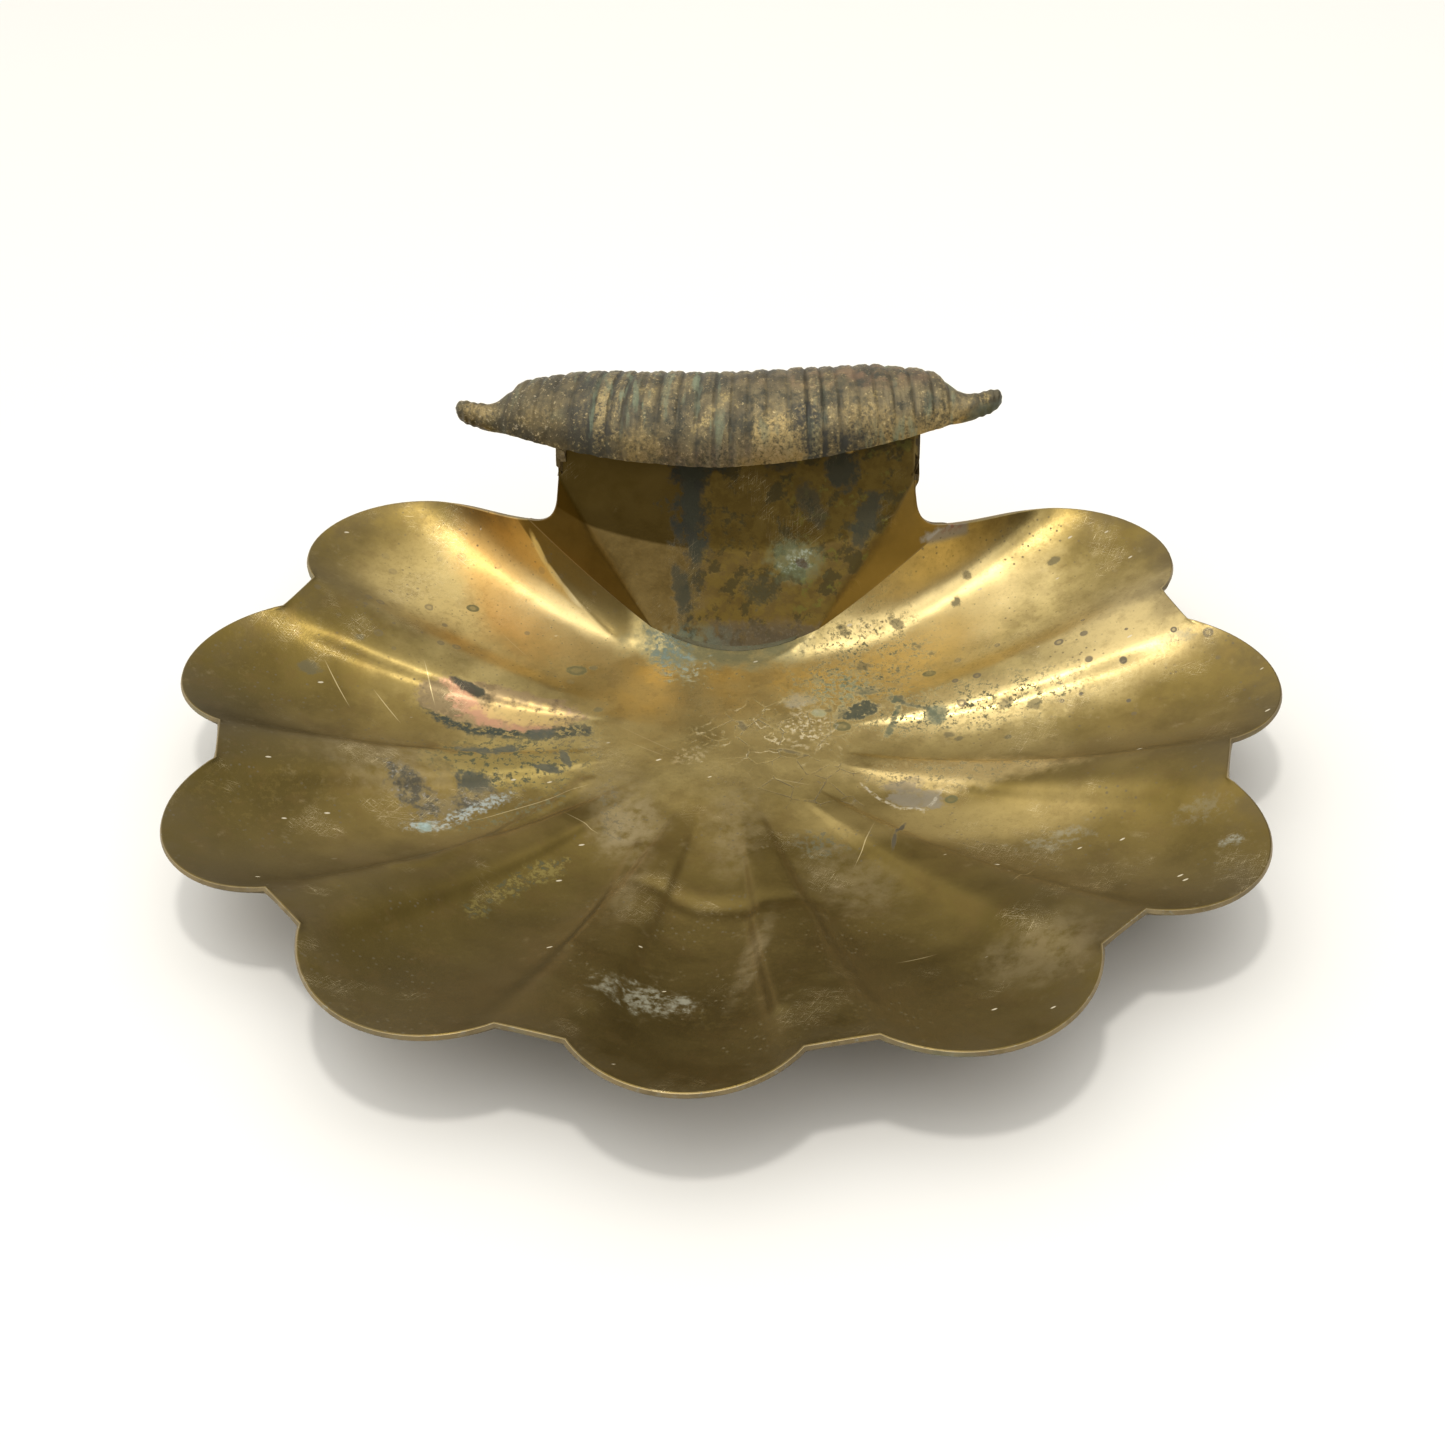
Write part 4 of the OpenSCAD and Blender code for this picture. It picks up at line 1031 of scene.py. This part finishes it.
    # scratches, specks of lint, the worn cut edge, and the duller back
    for run in (((-44, 2), (-20, -14)), ((-40, -8), (-26, -16)), ((-172, 14), (-160, -4)), ((-126, 8), (-132, 24)),
                ((-150, 6), (-138, -8)), ((-96, -66), (-56, -38)), ((-60, -60), (-48, -68)), ((62, -62), (55, -84)),
                ((20, -30), (36, -34)), ((70, -150), (82, -146)), ((120, -100), (112, -112)), ((-104, 60), (-92, 48))):
        g.lay(g.mul(g.streak(run, 0.22, 0.14), 0.6), (0.62, 0.51, 0.28), 0.95, 0.38)
    g.scratches(0.75, ((8, 1), (-32, 2), (64, 3)))
    d, one, two = g.cells(7.0, vec=g.moved((0, 0, 0), (2.2, 0.8, 1.5), 24))
    g.lay(g.mul(g.span(d, 0.10, 0.06), g.span(one, 0.80, 0.84), 0.8), (0.66, 0.60, 0.46), 0.0, 0.9)
    g.lay(g.mul(g.span(edge, 0.4, 0.9), g.span(small, 0.30, 0.50, 0.4, 0.9)), (0.33, 0.26, 0.145), 0.9, 0.45)
    g.lay(g.mul(g.span(edge, 0.3, 0.8), g.span(grain, 0.55, 0.65), g.span(y, -60, -120), 0.5), (0.30, 0.34, 0.33), 0.2, 0.7)
    back = g.span(under, 0.4, 0.6)
    g.lay(g.mul(back, 0.8), (0.215, 0.16, 0.08), 0.85, 0.52)
    g.lay(g.mul(back, g.span(mid, 0.45, 0.6), 0.7), (0.10, 0.082, 0.048), 0.55, 0.65)
    g.lay(g.mul(back, g.span(g.noise(30, 5, 0.6, 25), 0.56, 0.66), 0.5), (0.17, 0.22, 0.16), 0.3, 0.75)
    return g.done((mid, 0.15, 1.0), (g.h, 0.55, 0.22))


def brass_neck():
    g = Graph("aged_brass_neck")
    g.flat = (0, 2)
    x, y, z = g.axes
    edge, wing, under = g.attr("edge"), g.attr("wing"), g.attr("under")
    mid, small, fine = g.noise(16, 5, 0.62, 31), g.noise(5, 5, 0.66, 32), g.noise(1.5, 5, 0.7, 33)
    g.start(g.col(g.span(mid, 0.36, 0.64), (0.27, 0.185, 0.062), (0.37, 0.26, 0.095)),
            g.span(fine, 0.4, 0.7, 0.30, 0.42), g.span(fine, 0.6, 0.8, 1.0, 0.85), g.mul(fine, 0.4))
    # painted shade: the left wing much darker than the panel
    g.lay(g.mul(wing, g.span(x, 5, -5), 0.75), (0.060, 0.042, 0.012), 1.0, 0.36)
    g.lay(g.mul(wing, g.span(x, -5, 5), 0.7), (0.22, 0.165, 0.06), 1.0, 0.38)
    # painted shadow of the crest: the panel and left wing darker above an arc just below the crest's lip
    crest_shadow_arc = g.math("MULTIPLY_ADD", g.mul(x, x), -0.0022, z)
    g.lay(g.mul(g.span(crest_shadow_arc, 42.0, 43.6), g.inv(g.mul(wing, g.span(x, -5, 5))), 0.8), (0.068, 0.042, 0.005), 1.0, 0.34)
    # the right two thirds of the panel are stained in brown, green and black
    line = g.math("MULTIPLY_ADD", small, 22, g.math("MULTIPLY_ADD", mid, 26, x))
    stain = g.mul(g.span(line, -1, 5), g.inv(wing))
    g.lay(g.mul(stain, 0.45), (0.165, 0.110, 0.028), 0.95, 0.46)
    # the stain's lighter brown and olive fade out above the painted crest shadow
    g.lay(g.mul(stain, g.span(small, 0.44, 0.56), g.span(crest_shadow_arc, 46, 42, 0.20, 0.65)), (0.29, 0.205, 0.050), 0.95, 0.45)
    g.lay(g.mul(stain, g.span(g.noise(9, 5, 0.66, 34), 0.50, 0.58), 0.85), (0.070, 0.056, 0.018), 0.6, 0.62, -0.3)
    g.lay(g.mul(stain, g.span(g.noise(6, 5, 0.68, 36), 0.56, 0.62), g.span(x, 10, 36), g.span(crest_shadow_arc, 50, 42, 0.6, 1.0), 0.8), (0.19, 0.175, 0.035), 0.7, 0.55)
    shore = g.mul(g.span(line, -4, 2), g.span(line, 13, 6), g.inv(wing), g.span(z, 88, 84))
    g.lay(g.mul(shore, g.span(small, 0.36, 0.46), g.span(z, 30, 48, 0.45, 1.0)), (0.035, 0.036, 0.025), 0.1, 0.75, -0.3)
    for at, size, turn, k in (((-19, 79), (8, 8), 0, 0.95), ((-9, 79), (8, 4), -10, 0.9), ((-20, 64), (3.5, 13), 6, 0.95), ((-17, 43), (3.5, 6), 0, 0.8),
                              ((-24, 26), (4, 11), 14, 0.85), ((47, 76), (7, 8), 10, 0.9), ((58, 56), (5, 12), -24, 0.85),
                              ((34, 62), (5, 10), 30, 0.6), ((20, 82), (8, 6), 0, 0.7)):
        g.lay(g.mul(g.patch(at, size, turn, 0.5, 4, 0.3), k), (0.042, 0.045, 0.028), 0.1, 0.75, -0.3)
    g.lay(g.mul(g.patch((12, 27), (8, 6), 0, 0.7, 4, 0.4), g.span(fine, 0.36, 0.5), 0.8), (0.085, 0.075, 0.035), 0.5, 0.65)
    foot = g.mul(g.span(g.math("MULTIPLY_ADD", small, 14, z), 23, 18), g.span(x, -19, -9), g.inv(wing))
    g.lay(g.mul(foot, g.span(small, 0.34, 0.54, 0.5, 0.9)), (0.115, 0.088, 0.052), 0.3, 0.7)
    g.lay(g.mul(foot, g.span(fine, 0.52, 0.62), 0.5), (0.21, 0.17, 0.11), 0.2, 0.8)
    g.lay(g.mul(g.span(z, 15, 8), g.span(small, 0.42, 0.58), g.span(x, 10, -20), 0.6), (0.17, 0.22, 0.17), 0.2, 0.75)
    bloom = g.patch((27, 39), (11, 8), -10, 0.5, 4, 0.5)
    g.lay(g.mul(bloom, 0.6), (0.19, 0.24, 0.14), 0.2, 0.75)
    g.lay(g.mul(bloom, g.patch((28, 39), (6, 3.6), 24, 0.9, 4, 0.5), g.span(fine, 0.44, 0.58), 0.75), (0.46, 0.52, 0.44), 0.0, 0.9, 0.3)
    g.lay(g.mul(g.patch((30, 38), (2.6, 1.6), -30, 0.7, 4, 0.4), 0.8), (0.075, 0.045, 0.028), 0.1, 0.7)
    g.lay(g.mul(g.patch((92, 42), (8, 4), -10, 0.4, 4, 0.3), 0.9), (0.40, 0.37, 0.33), 0.1, 0.8, 0.4)
    g.lay(g.mul(g.patch((-30, 62), (8, 3), 20, 0.6, 4, 0.4), g.span(g.noise(3, 3, 0.6, 35), 0.50, 0.56), 0.5), BLACK, 0.2, 0.7)
    d, one, two = g.cells(5.5)
    g.lay(g.mul(g.span(d, 0.16, 0.10), g.span(one, 0.68, 0.72), g.span(z, 46, 30), 0.6), (0.10, 0.085, 0.045), 0.3, 0.7)
    g.scratches(0.5, ((20, 5), (80, 6)))
    g.lay(g.mul(g.span(edge, 0.4, 0.95), 0.7), (0.34, 0.27, 0.17), 0.9, 0.45)
    back = g.span(under, 0.4, 0.6)
    g.lay(g.mul(back, 0.7), (0.20, 0.15, 0.075), 0.85, 0.5)
    g.lay(g.mul(back, g.span(mid, 0.45, 0.6), 0.7), (0.10, 0.082, 0.048), 0.55, 0.65)
    return g.done((mid, 0.12, 1.0), (g.h, 0.6, 0.22))


def cast_brass():
    g = Graph("cast_brass_crest")
    g.flat = (0, 2)
    x, y, z = g.axes
    rib_at, outer = g.attr("rib"), g.attr("outer")
    big, mid = g.noise(34, 4, 0.6, 41), g.noise(9, 5, 0.66, 42)
    fine, sand = g.noise(1.5, 5, 0.72, 43), g.noise(0.7, 3, 0.7, 44)
    g.start(g.col(g.span(mid, 0.38, 0.62), (0.098, 0.082, 0.052), (0.185, 0.152, 0.088)),
            g.span(fine, 0.35, 0.7, 0.40, 0.60), g.span(fine, 0.5, 0.75, 0.85, 0.5),
            g.math("MULTIPLY_ADD", sand, 0.8, fine))
    # black left in the grooves and in broad stains
    g.lay(g.mul(g.span(rib_at, 0.40, 0.10), g.span(mid, 0.35, 0.6, 0.2, 0.55)), (0.06, 0.054, 0.038), 0.5, 0.6)
    blot = g.noise(13, 5, 0.7, 46)
    g.lay(g.mul(g.span(blot, 0.50, 0.58), g.span(fine, 0.34, 0.50, 0.5, 1.0), 0.85), (0.042, 0.042, 0.030), 0.5, 0.5)
    g.lay(g.mul(g.span(blot, 0.47, 0.38), g.span(fine, 0.42, 0.56), 0.7), (0.36, 0.28, 0.125), 0.95, 0.40)
    for at, size, turn, k in (((46, 94), (16, 12), 25, 0.95), ((64, 98), (10, 10), 30, 0.8), ((30, 106), (9, 8), 0, 0.9), ((34, 93), (5, 9), 0, 0.9), ((-62, 100), (11, 14), 10, 0.8),
                              ((-48, 110), (7, 8), 0, 0.6), ((-8, 94), (9, 9), 0, 0.5), ((-96, 98), (14, 5), -20, 0.7)):
        g.lay(g.mul(g.patch(at, size, turn, 0.5, 4, 0.35), k), (0.036, 0.036, 0.03), 0.35, 0.55)
    # golden wear on the tops of the ribs and in rubbed places
    wear = g.mul(g.span(rib_at, 0.45, 0.95), g.span(g.math("MULTIPLY_ADD", fine, 0.5, big), 0.68, 0.84))
    g.lay(g.mul(wear, g.span(fine, 0.36, 0.54), 0.6), (0.40, 0.31, 0.145), 0.95, 0.38)
    for at, size, turn, k in (((19, 98), (10, 12), 10, 0.95), ((27, 91), (5, 6), 0, 0.9), ((8, 90), (6, 5), 0, 0.7), ((88, 102), (14, 7), 10, 0.8),
                              ((70, 100), (12, 8), 0, 0.7), ((-38, 96), (10, 7), 0, 0.6), ((-84, 104), (9, 5), 10, 0.5),
                              ((-112, 104), (8, 5), 0, 0.9), ((56, 108), (10, 6), 0, 0.5)):
        m = g.mul(g.patch(at, size, turn, 0.5, 4, 0.45), g.span(fine, 0.36, 0.56), k)
        g.lay(m, (0.42, 0.315, 0.14), 0.95, 0.40)
    g.lay(g.mul(g.span(x, -60, -80), 0.45), (0.085, 0.07, 0.042), 0.9, 0.45)
    g.lay(g.mul(g.span(x, -66, -84), g.span(fine, 0.56, 0.64), 0.7), (0.50, 0.43, 0.30), 1.0, 0.26, 0.3)
    g.lay(g.mul(g.span(fine, 0.57, 0.65), g.span(rib_at, 0.2, 0.7), 0.75), (0.56, 0.45, 0.25), 0.95, 0.34, 0.3)
    # verdigris in streaks that follow the ribs, and a red-brown line along the ridge
    run = g.noise(4.5, 4, 0.6, 45, g.moved((0, 0, 0), (1, 5, 5)))
    streak = g.mul(g.span(run, 0.50, 0.62), g.span(big, 0.40, 0.58))
    zone = g.most(g.patch((84, 108), (38, 16), 0, 0.3, 7, 0.5), g.patch((-30, 110), (56, 10), 0, 0.3, 7, 0.5))
    g.lay(g.mul(streak, zone, g.span(fine, 0.34, 0.52, 0.4, 1.0), 0.75), (0.205, 0.25, 0.165), 0.1, 0.8)
    g.lay(g.mul(streak, g.span(fine, 0.40, 0.56), 0.3), (0.18, 0.205, 0.135), 0.2, 0.75)
    g.lay(g.mul(g.patch((108, 105), (9, 4), 20, 0.4, 4, 0.4), 0.6), (0.13, 0.16, 0.12), 0.3, 0.7)
    g.lay(g.mul(g.span(z, 115, 119), g.span(mid, 0.42, 0.6), 0.6), (0.26, 0.15, 0.085), 0.5, 0.6)
    lip = g.span(g.math("MULTIPLY_ADD", mid, 6, y), 79.5, 76.5)
    g.lay(g.mul(lip, g.span(fine, 0.4, 0.6), 0.35), (0.30, 0.22, 0.15), 0.8, 0.5)
    g.lay(g.mul(g.span(outer, 0.5, 0.1), 0.7), (0.13, 0.105, 0.065), 0.6, 0.6)
    return g.done((mid, 0.25, 0.9), (g.h, 0.85, 0.30))


def small_brass():
    g = Graph("aged_brass_fasteners")
    mid, fine = g.noise(3.5, 5, 0.65, 51), g.noise(0.8, 4, 0.7, 52)
    g.start(g.col(g.span(mid, 0.38, 0.6), (0.20, 0.15, 0.08), (0.44, 0.34, 0.18)),
            g.span(fine, 0.35, 0.7, 0.34, 0.55), 0.95, fine)
    g.lay(g.mul(g.span(mid, 0.5, 0.62), g.span(fine, 0.45, 0.6), 0.6), (0.16, 0.19, 0.14), 0.2, 0.75, 0.2)
    g.lay(g.mul(g.span(fine, 0.56, 0.68), 0.6), (0.60, 0.50, 0.34), 1.0, 0.32)
    return g.done((g.h, 0.6, 0.15))


def old_solder():
    g = Graph("old_solder")
    mid, fine = g.noise(6, 5, 0.66, 61), g.noise(1.2, 5, 0.7, 62)
    g.start(g.col(g.span(mid, 0.4, 0.62), (0.17, 0.15, 0.105), (0.25, 0.225, 0.15)),
            g.span(fine, 0.35, 0.7, 0.45, 0.65), g.span(mid, 0.45, 0.6, 0.75, 0.3), fine)
    g.lay(g.mul(g.span(g.axes[2], 16, 8), 0.85), (0.085, 0.078, 0.04), 0.6, 0.6)
    g.lay(g.mul(g.span(fine, 0.5, 0.62), 0.4), (0.14, 0.165, 0.11), 0.1, 0.8, 0.2)
    g.lay(g.mul(g.span(g.axes[0], 70, 88), g.span(fine, 0.40, 0.56)), (0.46, 0.44, 0.41), 0.1, 0.75, 0.3)
    g.lay(g.mul(g.patch((86, 94), (8, 5), 0, 0.5, 4, 0.3), 0.8), (0.30, 0.11, 0.055), 0.1, 0.8)
    return g.done((mid, 0.5, 0.6), (g.h, 0.7, 0.25))


# ---------------------------------------------------------------- build
neck_mat, pin_mat, solder_mat = brass_neck(), small_brass(), old_solder()
build_dish(brass_dish())
build_neck(neck_mat)
build_crest(cast_brass())
for key, mat in (("rivets", pin_mat), ("strap_pin", pin_mat), ("side_strap", pin_mat),
                 ("solder_left", solder_mat), ("solder_right", solder_mat), ("solder_foot", solder_mat)):
    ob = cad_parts[key]
    ob.data.materials.clear()
    ob.data.materials.append(mat)

# ---------------------------------------------------------------- floor, light, camera
bpy.ops.mesh.primitive_plane_add(size=14, location=(0, 0, -0.0002))
floor = bpy.context.object
floor.name = "studio_floor"
fg = Graph("pale_floor")
fg.start((0.82, 0.82, 0.82), 0.9, None, None)
floor.data.materials.append(fg.done())

world = bpy.data.worlds.new("studio")
bpy.context.scene.world = world
world.use_nodes = True
wn = world.node_tree
wn.nodes.clear()
tc = wn.nodes.new("ShaderNodeTexCoord")
dot = wn.nodes.new("ShaderNodeVectorMath")
ramp = wn.nodes.new("ShaderNodeValToRGB")
bg = wn.nodes.new("ShaderNodeBackground")
wo = wn.nodes.new("ShaderNodeOutputWorld")
dot.operation = "DOT_PRODUCT"
dot.inputs[1].default_value = (-0.30, 0.17, 0.94)
wn.links.new(tc.outputs["Generated"], dot.inputs[0])
wn.links.new(dot.outputs["Value"], ramp.inputs[0])
wn.links.new(ramp.outputs[0], bg.inputs[0])
# beyond the floor's edge the room itself is plain and pale
pale, path, either = (wn.nodes.new("ShaderNode" + k) for k in ("Background", "LightPath", "MixShader"))
pale.inputs[0].default_value = (0.86, 0.85, 0.82, 1)
wn.links.new(path.outputs["Is Camera Ray"], either.inputs[0])
wn.links.new(bg.outputs[0], either.inputs[1])
wn.links.new(pale.outputs[0], either.inputs[2])
wn.links.new(either.outputs[0], wo.inputs[0])
# brightness by angle from the middle of a pale ceiling, a little to the left
stops = ((90, 0.075), (62, 0.09), (50, 0.17), (40, 0.34), (30, 0.62), (20, 0.92), (10, 1.0))
el = ramp.color_ramp.elements
for i, (angle, v) in enumerate(stops):
    e = el[0] if i == 0 else el[1] if i == len(stops) - 1 else el.new(cos(rad(angle)))
    e.position = cos(rad(angle))
    e.color = (v, v * mix(0.90, 0.975, v), v * mix(0.72, 0.90, v), 1)
bg.inputs[1].default_value = 1.7


def softbox(name, at, aim, size, power, tint=(1, 0.98, 0.95)):
    li = bpy.data.lights.new(name, "AREA")
    li.shape, li.size, li.size_y = "RECTANGLE", size[0], size[1]
    li.energy, li.color = power, tint
    ob = bpy.data.objects.new(name, li)
    ob.location = at
    ob.rotation_euler = (Vector(aim) - Vector(at)).to_track_quat("-Z", "Y").to_euler()
    bpy.context.scene.collection.objects.link(ob)


softbox("lamp", (-0.05, -0.3, 1.6), (0, 0, 0), (0.14, 0.14), 7, (1, 0.95, 0.86))
softbox("fill", (0.9, -1.2, 1.2), (0, 0, 0.03), (0.8, 0.8), 3)

cam = bpy.data.cameras.new("camera")
cam.lens, cam.sensor_width, cam.sensor_height = 44.84, 36, 36
cam.clip_start = 0.01
eye, target = Vector((0.0446, -0.6073, 0.4632)), Vector((0.0021, -0.0473, 0.0430))
co = bpy.data.objects.new("camera", cam)
co.matrix_world = (Matrix.Translation(eye) @ (target - eye).to_track_quat("-Z", "Y").to_matrix().to_4x4()
                   @ Matrix.Rotation(rad(-1.54), 4, "Z"))
bpy.context.scene.collection.objects.link(co)
bpy.context.scene.camera = co
bpy.context.scene.view_settings.view_transform = "Standard"
